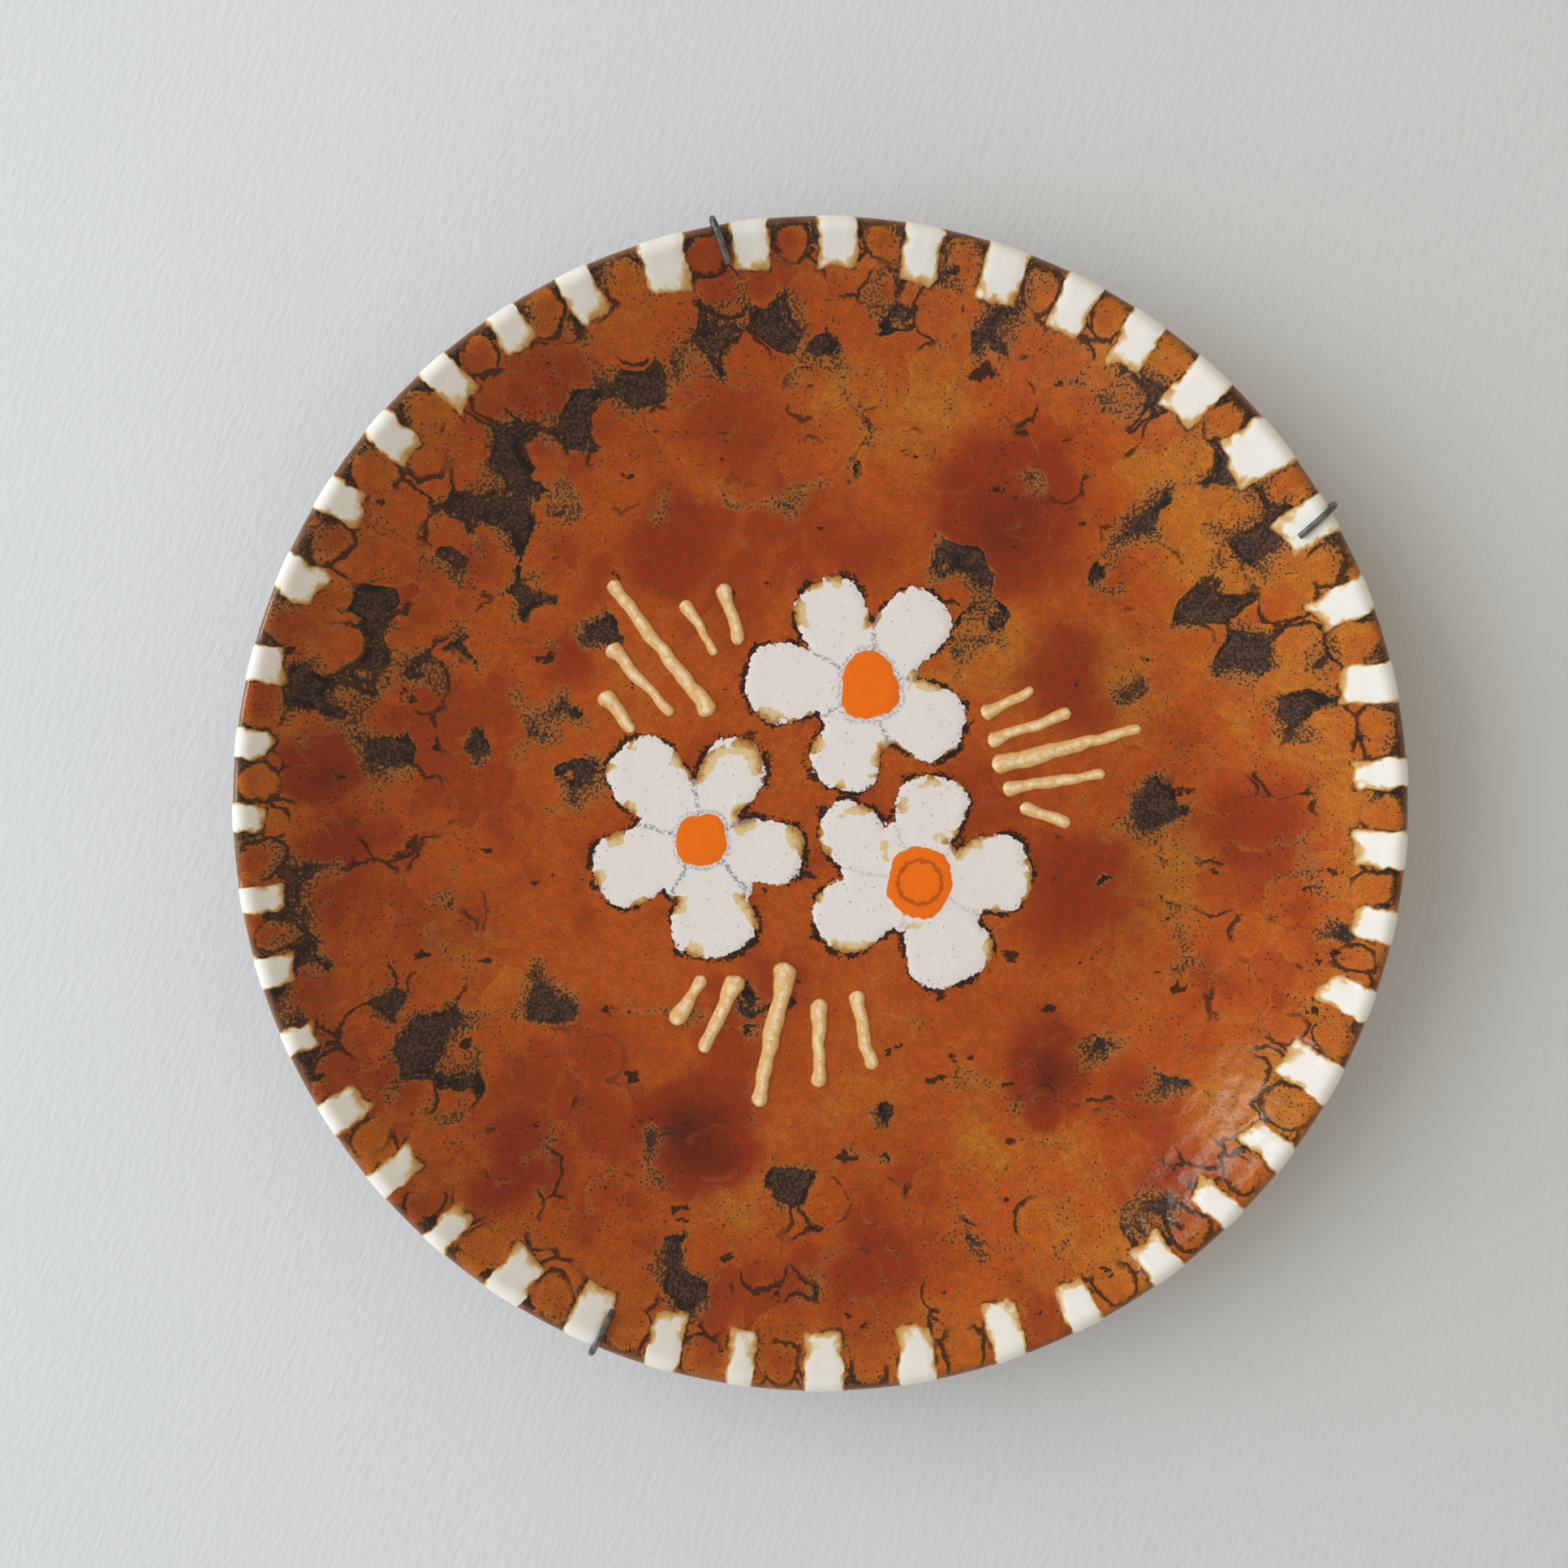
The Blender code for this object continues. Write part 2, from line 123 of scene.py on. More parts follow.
class Recipe:
    """Adds nodes to one tree, in the order in which they are needed."""

    def __init__(self, tree):
        self.tree = tree

    def feed(self, socket, value):
        if isinstance(value, bpy.types.NodeSocket):
            self.tree.links.new(value, socket)
        else:
            socket.default_value = value

    def node(self, kind, inputs=None, output=0, **settings):
        made = self.tree.nodes.new(kind)
        for name, value in settings.items():
            setattr(made, name, value)
        for key, value in (inputs or {}).items():
            self.feed(made.inputs[key], value)
        return made.outputs[output]

    def math(self, operation, *values, clamp=False):
        inputs = dict(enumerate(values))
        return self.node("ShaderNodeMath", inputs, operation=operation, use_clamp=clamp)

    def add(self, a, b):
        return self.math("ADD", a, b)

    def less(self, a, b):
        return self.math("SUBTRACT", a, b)

    def times(self, a, b):
        return self.math("MULTIPLY", a, b)

    def lowest(self, first, *others):
        for other in others:
            first = self.math("MINIMUM", first, other)
        return first

    def highest(self, first, *others):
        for other in others:
            first = self.math("MAXIMUM", first, other)
        return first

    def fade(self, value, start, end, low=0.0, high=1.0):
        """Goes smoothly from low, where the value is at start, to high, where it is at end."""
        inputs = {0: value, 1: start, 2: end, 3: low, 4: high}
        return self.node("ShaderNodeMapRange", inputs, interpolation_type="SMOOTHSTEP")

    def vector(self, operation, *values):
        output = 1 if operation in ("LENGTH", "DOT_PRODUCT", "DISTANCE") else 0
        inputs = dict(enumerate(values))
        return self.node("ShaderNodeVectorMath", inputs, output, operation=operation)

    def scaled(self, vector, factor):
        inputs = {0: vector, 3: factor}
        return self.node("ShaderNodeVectorMath", inputs, operation="SCALE")

    def joined(self, x, y, z=0.0):
        return self.node("ShaderNodeCombineXYZ", {0: x, 1: y, 2: z})

    def split(self, vector):
        self.node("ShaderNodeSeparateXYZ", {0: vector})
        return self.tree.nodes[-1].outputs

    def noise(self, where, size, detail=2.0, seed=0, output=0, flat=True):
        """Soft noise from 0 to 1 whose lumps are about this size; flat leaves depth out."""
        moved = self.vector("ADD", where, (seed * 37.1, seed * 17.3, seed * 5.9)) if seed else where
        inputs = {"Vector": moved, "Scale": 1 / size, "Detail": detail}
        dimensions = "2D" if flat else "3D"
        return self.node("ShaderNodeTexNoise", inputs, output, noise_dimensions=dimensions)

    def wobbled(self, where, size, reach, detail=1.0, seed=1):
        """The same place, moved up to this far by soft noise."""
        colour = self.noise(where, size, detail, seed, output=1)
        shift = self.scaled(self.vector("SUBTRACT", colour, (0.5, 0.5, 0.5)), 2 * reach)
        return self.vector("ADD", where, shift)

    def curve(self, value, points):
        """A value read off straight lines between these points, all from 0 to 1."""
        self.node("ShaderNodeFloatCurve", {"Value": value})
        mapping = self.tree.nodes[-1].mapping
        line = mapping.curves[0]
        while len(line.points) < len(points):
            line.points.new(0.5, 0.5)
        for point, (x, y) in zip(line.points, points):
            point.location = (x, y)
            point.handle_type = "VECTOR"
        mapping.update()
        return self.tree.nodes[-1].outputs[0]

    def choose(self, share, a, b):
        """A number between a, at 0, and b, at 1."""
        return self.node("ShaderNodeMix", {0: share, 2: a, 3: b})

    def field(self, name):
        """A number that the mesh carries at each of its points."""
        return self.node("ShaderNodeAttribute", output=2, attribute_name=name)

    def mix(self, share, a, b):
        """A colour between a, at 0, and b, at 1."""
        inputs = {0: share, 6: a, 7: b}
        return self.node("ShaderNodeMix", inputs, 2, data_type="RGBA")


print("recipe steps:", [name for name in vars(Recipe) if not name.startswith("_")])

# %% [markdown]
# ## From a tree to a finished piece
# A Geometry Nodes modifier makes its shape fresh each time. When the shape is right, it is
# turned into a plain mesh, so that the piece can be exported and carried over like any other.

# %% Helpers for trees and pieces


def shape_tree(name, sizes):
    """A geometry tree with these named inputs; gives its recipe, its inputs and its ends."""
    tree = bpy.data.node_groups.new(name, "GeometryNodeTree")
    tree.is_modifier = True
    tree.interface.new_socket("Geometry", in_out="INPUT", socket_type="NodeSocketGeometry")
    for label, kind in sizes.items():
        tree.interface.new_socket(label, in_out="INPUT", socket_type=kind)
    tree.interface.new_socket("Geometry", in_out="OUTPUT", socket_type="NodeSocketGeometry")
    start = tree.nodes.new("NodeGroupInput")
    end = tree.nodes.new("NodeGroupOutput")
    return Recipe(tree), start.outputs, end.inputs[0]


def finish_tree(recipe, geometry, material, end, other_side=None, other_material=None):
    """The last steps of every shape: real geometry, smooth faces and its material."""
    real = recipe.node("GeometryNodeRealizeInstances", {0: geometry})
    smooth = recipe.node("GeometryNodeSetShadeSmooth", {0: real})
    covered = recipe.node("GeometryNodeSetMaterial", {0: smooth, 2: material})
    if other_side is not None:
        inputs = {0: covered, 1: other_side, 2: other_material}
        covered = recipe.node("GeometryNodeSetMaterial", inputs)
    recipe.feed(end, covered)


def make_piece(name, data, tree, values):
    """Runs a tree on a mesh or curve and keeps the result as a plain mesh."""
    draft = bpy.data.objects.new(name + "_draft", data)
    bpy.context.scene.collection.objects.link(draft)
    modifier = draft.modifiers.new("shape", "NODES")
    modifier.node_group = tree
    for socket in tree.interface.items_tree:
        if socket.name in values:
            modifier[socket.identifier] = values[socket.name]
    bpy.context.view_layer.update()
    scene_now = bpy.context.evaluated_depsgraph_get()
    ready = draft.evaluated_get(scene_now)
    mesh = bpy.data.meshes.new_from_object(
        ready, preserve_all_data_layers=True, depsgraph=scene_now
    )
    mesh.name = name
    mesh.set_sharp_from_angle(angle=math.radians(50))
    piece = bpy.data.objects.new(name, mesh)
    bpy.context.scene.collection.objects.link(piece)
    bpy.data.objects.remove(draft)
    triangles = sum(len(face.vertices) - 2 for face in mesh.polygons)
    print(name, "has", triangles, "triangles")
    return piece


LENGTH = "NodeSocketFloat"
COUNT = "NodeSocketInt"
FINISH = "NodeSocketMaterial"

# %% [markdown]
# ## Glaze dabs over the lip
# The potter dipped a brush in white glaze and laid 43 dabs over the lip by hand, so each has
# its own place, width and reach. The table holds each dab's bearing on the plate, its width
# and how far it reaches in from the edge. A curve turns a bearing into a count of dabs, and
# two more give the width and the reach, so the same steps can lift the clay and colour it.

# %% The potter's dabs, one by one
PLATE_RADIUS_MM = 135.0
LIP_DABS = (
    (2.8, 6.9, 11.4), (12.4, 9.0, 11.8), (20.8, 8.6, 12.0), (29.9, 9.0, 11.4), (38.8, 12.6, 12.4),
    (47.7, 10.4, 13.0), (55.7, 9.6, 11.6), (63.0, 9.6, 12.6), (70.9, 10.2, 12.2), (79.6, 8.6, 12.4),
    (88.3, 9.2, 10.4), (97.2, 8.0, 10.6), (106.0, 10.2, 12.0), (115.2, 8.2, 11.4), (123.0, 8.4, 9.4),
    (131.4, 8.4, 10.8), (139.4, 8.8, 11.0), (147.6, 8.2, 9.4), (156.9, 9.0, 9.6), (165.9, 8.6, 7.2),
    (174.4, 7.6, 7.6), (181.5, 6.6, 7.0), (189.8, 7.2, 9.4), (197.1, 8.8, 8.2), (204.3, 6.4, 7.6),
    (212.8, 8.4, 9.2), (220.9, 7.4, 11.0), (228.8, 6.6, 10.4), (237.2, 9.4, 11.4), (245.8, 8.8, 12.2),
    (254.0, 8.4, 12.2), (261.8, 6.6, 11.8), (270.2, 8.8, 12.0), (279.8, 7.8, 12.0), (289.4, 8.0, 12.6),
    (297.0, 7.8, 10.2), (306.6, 8.4, 9.2), (314.7, 7.2, 10.6), (322.5, 7.2, 11.0), (331.3, 9.6, 12.6),
    (339.9, 8.0, 11.6), (347.7, 9.0, 9.2), (355.3, 9.8, 11.0),
)
DAB_COUNT = len(LIP_DABS)
DAB_PITCH = math.tau * PLATE_RADIUS_MM / DAB_COUNT
WIDTH_RANGE = 16.0
REACH_RANGE = 20.0


def count_of_dabs(recipe, where):
    """How many dabs, with a fraction, lie between the first one and this bearing."""
    x, z, _ = recipe.split(where)
    turns = recipe.math("DIVIDE", recipe.math("ARCTAN2", z, x), math.tau)
    turns = recipe.math("FRACT", recipe.add(turns, 1 - LIP_DABS[0][0] / 360))
    points = [((dab[0] - LIP_DABS[0][0]) / 360, i / DAB_COUNT) for i, dab in enumerate(LIP_DABS)]
    points.append((1.0, 1.0))
    return recipe.times(recipe.curve(turns, points), float(DAB_COUNT))


def per_dab(recipe, number, column, full):
    """This dab's width or reach, in millimetres."""
    points = [(i / DAB_COUNT, dab[column] / full) for i, dab in enumerate(LIP_DABS)]
    points.append((1.0, LIP_DABS[0][column] / full))
    return recipe.times(recipe.curve(recipe.math("DIVIDE", number, DAB_COUNT), points), full)


def lip_dab_distance(recipe, where):
    """Millimetres outside the nearest white dab; less than nothing is inside it."""
    frayed = recipe.wobbled(where, 4.2, 1.35, 2.0, seed=3)
    count = count_of_dabs(recipe, frayed)
    number = recipe.math("ROUND", count)
    aside = recipe.times(recipe.less(count, number), DAB_PITCH)
    own = recipe.math("FLOORED_MODULO", number, float(DAB_COUNT))
    inset = recipe.less(PLATE_RADIUS_MM, recipe.vector("LENGTH", frayed))
    half = recipe.times(per_dab(recipe, own, 1, WIDTH_RANGE), 0.5)
    reach = per_dab(recipe, own, 2, REACH_RANGE)
    chance = recipe.node("ShaderNodeTexWhiteNoise", {"W": own}, noise_dimensions="1D")
    chance = recipe.less(chance, 0.5)
    lean = recipe.times(recipe.times(chance, 0.28), recipe.less(inset, 5.0))
    aside = recipe.add(aside, lean)
    share = recipe.math("DIVIDE", aside, half)
    horns = recipe.times(recipe.times(share, share), recipe.add(recipe.times(chance, 1.6), 0.5))
    slant = recipe.times(recipe.times(share, chance), 3.0)
    over_end = recipe.less(inset, recipe.add(reach, recipe.add(horns, slant)))
    over_side = recipe.less(recipe.math("ABSOLUTE", aside), half)
    over_lip = recipe.less(-5.2, inset)
    corner = recipe.math("SMOOTH_MAX", over_side, over_end, 2.4)
    return recipe.math("SMOOTH_MAX", corner, over_lip, 1.0)


print(DAB_COUNT, "dabs, one each", round(DAB_PITCH, 1), "mm of the edge")

# %% [markdown]
# ## Amber dabs over a dark ground
# Round dabs of amber glaze were laid over a dark slip in two coats, with two neat rows inside
# the lip. Where no dab reaches, the dark ground shows as small three-cornered gaps. A Voronoi
# texture scatters such dabs: it gives the distance to the nearest dab's centre, and a limit
# on that distance is the dab's edge. A few places are listed where the gaps are larger.

# %% Where the ground shows most
DARK_PLACES = (
    (-45, 98, 9), (-58, 90, 9), (-72, 82, 11), (-80, 68, 12), (-64, 72, 8), (-88, 57, 8),
    (-105, 47, 8), (-106, 37, 9), (-112, 26, 11), (-98, 28, 9), (-102, 12, 8), (-68, 46, 9),
    (-52, 43, 8), (-61, 22, 9), (-58, 5, 9), (-82, 15, 6), (-121, -14, 9), (-122, -30, 8),
    (-24, 108, 11), (-10, 114, 8), (0, 107, 6), (20, 117, 9), (44, 111, 10), (75, 95, 8),
    (96, 78, 8), (102, 63, 11), (97, 49, 10), (101, 36, 10), (113, 36, 9), (113, 22, 9),
    (89, 46, 6), (69, 54, 5), (34, 53, 10), (38, 43, 10), (75, 29, 7), (79, -2, 10), (-64, -48, 9),
    (-93, -56, 9), (-86, -65, 8), (-103, -50, 7), (-34, -111, 9), (-6, -92, 6), (16, -74, 6),
    (77, -96, 8), (-15, -44, 6), (10, 79, 5),
)


def blob(recipe, where, x, z, radius, softness=0.6):
    """1 in the middle of a soft round place, and 0 outside it."""
    away = recipe.vector("DISTANCE", where, (x, z, 0.0))
    return recipe.fade(away, radius, radius * (1 - softness))


def drifted(recipe, where):
    """The same place, moved as the runny glaze moved."""
    where = recipe.wobbled(where, 12.0, 3.0, 2.0, seed=5)
    return recipe.wobbled(where, 2.4, 0.8, 2.0, seed=6)


def dark_field(recipe, where):
    """1 in the middle of the darker places, and 0 away from them."""
    drift = recipe.wobbled(where, 10.0, 4.0, 2.0, seed=8)
    darker = 0.0
    for x, z, radius in DARK_PLACES:
        darker = recipe.highest(darker, blob(recipe, drift, x, z, radius * 1.22, 0.7))
    return darker


print("places where the ground shows more:", len(DARK_PLACES))

# %% Coats and rows of amber dabs


def dab_coat(recipe, drift, size, scatter, limit, seed):
    """One coat of scattered dabs: millimetres outside the nearest, and its own chance."""
    moved = recipe.vector("ADD", drift, (seed * 31.7, seed * 12.9, 0.0))
    inputs = {"Vector": moved, "Scale": 1 / size, "Randomness": scatter}
    away = recipe.node("ShaderNodeTexVoronoi", inputs, voronoi_dimensions="2D")
    chance = recipe.tree.nodes[-1].outputs["Color"]
    return recipe.times(recipe.less(away, limit), size), recipe.split(chance)[0]


def round_dab(recipe, aside, inset, centre_aside, centre_inset, radius):
    """Millimetres outside one round dab."""
    away = recipe.joined(recipe.less(aside, centre_aside), recipe.less(inset, centre_inset))
    return recipe.less(recipe.vector("LENGTH", away), radius)


def amber_dabs(recipe, where, darker):
    """The coats from the lowest to the highest: each one's distance and its dab's chance."""
    drift = drifted(recipe, where)
    from_middle = recipe.vector("LENGTH", where)
    inset = recipe.less(PLATE_RADIUS_MM, recipe.vector("LENGTH", drift))
    bare_lip = recipe.times(recipe.split(where)[1], 0.0016)
    bare_lip = recipe.fade(recipe.add(recipe.noise(where, 22.0, 1.0, 9), bare_lip), 0.34, 0.50)
    off_lip = recipe.times(recipe.fade(inset, 7.5, 3.0, 0.0, 20.0), bare_lip)
    patches = recipe.times(recipe.less(recipe.noise(where, 34.0, 2.0, 7), 0.5), 0.24)
    lower_limit = recipe.add(recipe.fade(from_middle, 60.0, 96.0, 0.92, 0.76), patches)
    lower_limit = recipe.less(lower_limit, recipe.times(darker, 0.80))
    upper_limit = recipe.fade(from_middle, 60.0, 96.0, 0.56, 0.52)
    upper_limit = recipe.less(upper_limit, recipe.fade(darker, 0.78, 1.0, 0.0, 0.20))
    lower, lower_chance = dab_coat(recipe, drift, 17.0, 0.92, lower_limit, 0)
    upper, upper_chance = dab_coat(recipe, drift, 12.5, 0.80, upper_limit, 1)
    count = count_of_dabs(recipe, drift)
    gap = recipe.math("FLOOR", count)
    aside = recipe.times(recipe.less(recipe.less(count, gap), 0.5), DAB_PITCH)
    own = recipe.add(recipe.math("FLOORED_MODULO", gap, float(DAB_COUNT)), 80.0)
    chance = recipe.node("ShaderNodeTexWhiteNoise", {"W": own}, 1, noise_dimensions="1D")
    chance_a, chance_b, chance_c = recipe.split(chance)
    small_row = round_dab(
        recipe, aside, inset, recipe.less(chance_a, 0.5),
        recipe.add(recipe.times(chance_b, 2.2), 5.0), recipe.add(recipe.times(chance_c, 1.3), 4.8),
    )
    large_row = round_dab(
        recipe, aside, inset, recipe.times(recipe.less(chance_c, 0.5), 6.0),
        recipe.add(recipe.times(chance_a, 5.0), 14.0), recipe.add(recipe.times(chance_b, 2.4), 5.0),
    )
    return (
        (recipe.add(lower, off_lip), lower_chance),
        (recipe.add(upper, off_lip), upper_chance),
        (large_row, chance_b),
        (small_row, chance_a),
    )


def outside_all(recipe, coats):
    """Millimetres outside the amber of every coat."""
    return recipe.lowest(*(distance for distance, _ in coats))


print("rows inside the lip: two, of", DAB_COUNT, "dabs each")

# %% [markdown]
# ## Three white flowers
# Each flower is five thick petals of white glaze round an orange centre. A petal is a slightly
# squared oval with its own place, size and turn, and its distance is kept in a node group, so
# that it is written once and used fifteen times. The nearest petal gives the flower's edge.
# The mesh carries that distance for the material, because it changes slowly from point to
# point, and the material adds the ragged edge.

# %% The petal's node group


def petal_group(kind):
    """A group that gives the distance outside one squared oval."""
    tree = bpy.data.node_groups.new("petal_distance", kind)
    for label, socket in (
        ("Where", "NodeSocketVector"), ("Centre", "NodeSocketVector"),
        ("Turn", "NodeSocketFloat"), ("Half across", "NodeSocketFloat"),
        ("Half along", "NodeSocketFloat"), ("Flare", "NodeSocketFloat"),
    ):
        tree.interface.new_socket(label, in_out="INPUT", socket_type=socket)
    tree.interface.new_socket("Distance", in_out="OUTPUT", socket_type="NodeSocketFloat")
    petal = Recipe(tree)
    given = tree.nodes.new("NodeGroupInput").outputs
    end = tree.nodes.new("NodeGroupOutput").inputs[0]
    own = petal.vector("SUBTRACT", given["Where"], given["Centre"])
    own = petal.node(
        "ShaderNodeVectorRotate", {"Vector": own, "Angle": given["Turn"]}, rotation_type="Z_AXIS"
    )
    along, aside, _ = petal.split(own)
    along = petal.math("DIVIDE", along, given["Half along"])
    flare = petal.add(petal.times(along, given["Flare"]), 1.0)
    aside = petal.math("DIVIDE", aside, petal.times(given["Half across"], flare))
    squared = petal.add(
        petal.math("POWER", petal.math("ABSOLUTE", along), 2.4),
        petal.math("POWER", petal.math("ABSOLUTE", aside), 2.4),
    )
    ring = petal.less(petal.math("POWER", squared, 1 / 2.4), 1.0)
    smaller = petal.lowest(given["Half along"], given["Half across"])
    petal.feed(end, petal.times(ring, smaller))
    return tree


PETAL = petal_group("GeometryNodeTree")
print("the petal group has", len(PETAL.nodes), "nodes")

# %% Lay out the flowers
# Each flower: its centre, the half sizes, turn and flare of its orange middle, how strong the lines
# between its petals are, its petals as bearing, distance, half width, half length and flare,
# and the notches between them, as bearing and distance.
FLOWERS = (
    ((12.2, 28.1), (6.8, 8.1, 95, -0.14), 0.8, (
        (118.5, 18.1, 8.3, 9.7, 0.10), (53.7, 16.4, 8.3, 9.7, 0.12), (-32.3, 15.6, 8.7, 9.7, 0.10),
        (-108.2, 16.7, 8.3, 9.3, 0.14), (178.3, 19.4, 9.3, 10.1, 0.12)), (
        (85.8, 15.0), (9.5, 11.3), (-73.7, 15.6), (214.5, 14.4), (149.0, 17.3))),
    ((-28.05, -8.8), (5.9, 6.0, 0, 0.0), 1.0, (
        (130.6, 18.9, 8.9, 10.1, 0.08), (65.7, 15.4, 7.2, 10.3, 0.14), (-10.3, 14.9, 7.4, 9.7, 0.12),
        (-81.7, 17.7, 9.4, 10.3, 0.30), (201.3, 16.9, 8.7, 10.3, 0.10)), (
        (97.0, 14.6), (23.7, 10.5), (-48.0, 17.7), (240.8, 16.0), (167.0, 15.6))),
    ((24.1, -19.0), (7.65, 8.4, 80, 0.0), 0.35, (
        (81.4, 17.4, 8.3, 8.7, 0.10), (5.9, 16.8, 8.9, 9.7, 0.12), (-67.8, 16.1, 10.1, 9.7, 0.14),
        (-154.5, 17.1, 8.9, 9.7, 0.12), (144.8, 17.9, 7.0, 9.7, 0.18)), (
        (45.0, 11.7), (-29.8, 16.8), (246.0, 12.4), (169.9, 19.6), (114.0, 16.0))),
)
NOTCH_RANGE = 25.0


def bearing_share(recipe, away):
    """The bearing of this way out from a centre, as a share of a full turn."""
    x, z, _ = recipe.split(away)
    turns = recipe.math("DIVIDE", recipe.math("ARCTAN2", z, x), math.tau)
    return recipe.math("FRACT", recipe.add(turns, 1.0))


def round_curve(recipe, turns, points):
    """A value read off between these (bearing, value) points, all the way round."""
    points = sorted((bearing % 360 / 360, value) for bearing, value in points)
    (first, low), (last, high) = points[0], points[-1]
    seam = low + (high - low) * first / (first + 1 - last)
    return recipe.curve(turns, [(0.0, seam), *points, (1.0, seam)])


def petal_distance(recipe, where, middle, bearing, away, half_across, half_along, flare):
    """Adds one petal group and feeds it this petal's sizes."""
    made = recipe.tree.nodes.new("GeometryNodeGroup")
    made.node_tree = PETAL
    x, z = Vector(middle) + polar(away, math.radians(bearing))
    recipe.feed(made.inputs["Where"], where)
    made.inputs["Centre"].default_value = (x, z, 0)
    made.inputs["Turn"].default_value = -math.radians(bearing)
    made.inputs["Half across"].default_value = half_across
    made.inputs["Half along"].default_value = half_along
    made.inputs["Flare"].default_value = flare
    return made.outputs[0]


def flower_distances(recipe, where):
    """Millimetres outside the white glaze and outside the orange."""
    poured = recipe.wobbled(where, 7.0, 1.2, 2.0, seed=41)
    white, orange = 1000.0, 1000.0
    for middle, egg, _, petals, notches in FLOWERS:
        away = recipe.vector("SUBTRACT", poured, (*middle, 0.0))
        points = [(bearing, depth / NOTCH_RANGE) for bearing, depth in notches]
        points += [(petal[0], 0.44) for petal in petals]
        filled = recipe.times(round_curve(recipe, bearing_share(recipe, away), points), NOTCH_RANGE)
        flower = recipe.less(recipe.vector("LENGTH", away), filled)
        for one in petals:
            petal = petal_distance(recipe, poured, middle, *one)
            flower = recipe.math("SMOOTH_MIN", flower, petal, 1.2)
        white = recipe.lowest(white, flower)
        egg_across, egg_along, egg_turn, egg_flare = egg
        egg = petal_distance(
            recipe, poured, middle, egg_turn, 0.0, egg_across, egg_along, egg_flare
        )
        orange = recipe.lowest(orange, egg)
    return white, orange


print("petals:", sum(len(flower[3]) for flower in FLOWERS))

# %% Dark red clouds in the amber
# Each cloud: its place on the plate, its reach and how strong it is.
RED_CLOUDS = (
    (-28, -80, 22, 0.9), (54, -63, 20, 0.9), (-115, 8, 14, 0.8), (44, 68, 30, 0.75),
    (-35, 63, 24, 0.6), (101, -8, 26, 0.5), (-70, -82, 22, 0.6), (-20, 90, 26, 0.4),
    (-85, -30, 22, 0.45), (60, 30, 24, 0.55), (15, -108, 26, 0.5), (80, -90, 22, 0.4),
    (-60, 34, 14, 0.6), (10, 60, 22, 0.35), (-50, -60, 24, 0.35), (64, -20, 26, 0.55),
    (-112, -10, 18, 0.5), (-64, 84, 10, 0.4),
)


def cloud_field(recipe, where):
    """How deep the red is, from 0 to 1."""
    warped = recipe.wobbled(where, 22.0, 9.0, 2.0, seed=14)
    cloud = 0.0
    for x, z, radius, strength in RED_CLOUDS:
        here = recipe.times(blob(recipe, warped, x, z, radius, 0.95), strength)
        cloud = recipe.highest(cloud, here)
    return cloud


print("red clouds:", len(RED_CLOUDS))

# %% [markdown]
# ## The plate's own shape
# A thrown plate is a profile turned round an axis. The profile is measured in a few sizes: a
# gently dished floor, a rim that sweeps up from it, a rounded lip, and a foot ring under it.
# Each point of the profile also knows how far it is from the middle along the glaze, so that
# a pattern runs over the lip without being smeared.

# %% Measure the profile
PLATE_RADIUS = 0.135
PLATE_HEIGHT = 0.034
FLOOR_HEIGHT = 0.0125
FLOOR_DISH = 0.001
WELL_RADIUS = 0.085
RIM_SLOPE = math.radians(31)
WALL_THICKNESS = 0.0052
LIP_THICKNESS = 0.0048
LIP_RADIUS = LIP_THICKNESS / 2
LIP_CENTRE_RADIUS = PLATE_RADIUS - LIP_RADIUS
LIP_CENTRE_HEIGHT = PLATE_HEIGHT - LIP_RADIUS
FOOT_RADIUS = 0.078
FOOT_INNER_RADIUS = 0.072
FOOT_HEIGHT = 0.0065
FOOT_ROUND = 0.0006
RIM_START_HEIGHT = FLOOR_HEIGHT + FLOOR_DISH
RIM_RUN = LIP_CENTRE_RADIUS - LIP_RADIUS * math.sin(RIM_SLOPE) - WELL_RADIUS
RIM_RISE = LIP_CENTRE_HEIGHT + LIP_RADIUS * math.cos(RIM_SLOPE) - RIM_START_HEIGHT


def rim_point(share):
    """(radius, height, slope) of the rim's face, from the well at 0 to the lip at 1."""
    pull = RIM_RUN * math.tan(RIM_SLOPE)
    rise = RIM_RISE * (3 * share**2 - 2 * share**3) + pull * (share**3 - share**2)
    gain = RIM_RISE * (6 * share - 6 * share**2) + pull * (3 * share**2 - 2 * share)
    return WELL_RADIUS + RIM_RUN * share, RIM_START_HEIGHT + rise, math.atan(gain / RIM_RUN)


def rim_back_point(share):
    """(radius, height) of the rim's underside, a wall's thickness behind its face."""
    radius, height, slope = rim_point(share)
    wall = WALL_THICKNESS + (LIP_THICKNESS - WALL_THICKNESS) * share
    return radius + wall * math.sin(slope), height - wall * math.cos(slope)


def face_height(radius):
    """Height of the plate's face at this radius, inside the lip."""
    if radius <= WELL_RADIUS:
        return FLOOR_HEIGHT + FLOOR_DISH * (radius / WELL_RADIUS) ** 2
    return rim_point(min(1.0, (radius - WELL_RADIUS) / RIM_RUN))[1]


def rounded(points, corner, steps):
    """A run of points whose inner corners are rounded off over this distance."""
    run = [points[0]]
    for before, at, after in zip(points, points[1:], points[2:]):
        start = at + (before - at).normalized() * corner
        end = at + (after - at).normalized() * corner
        for step in range(steps + 1):
            t = step / steps
            run.append(start * (1 - t) ** 2 + at * 2 * t * (1 - t) + end * t**2)
    return run + [points[-1]]


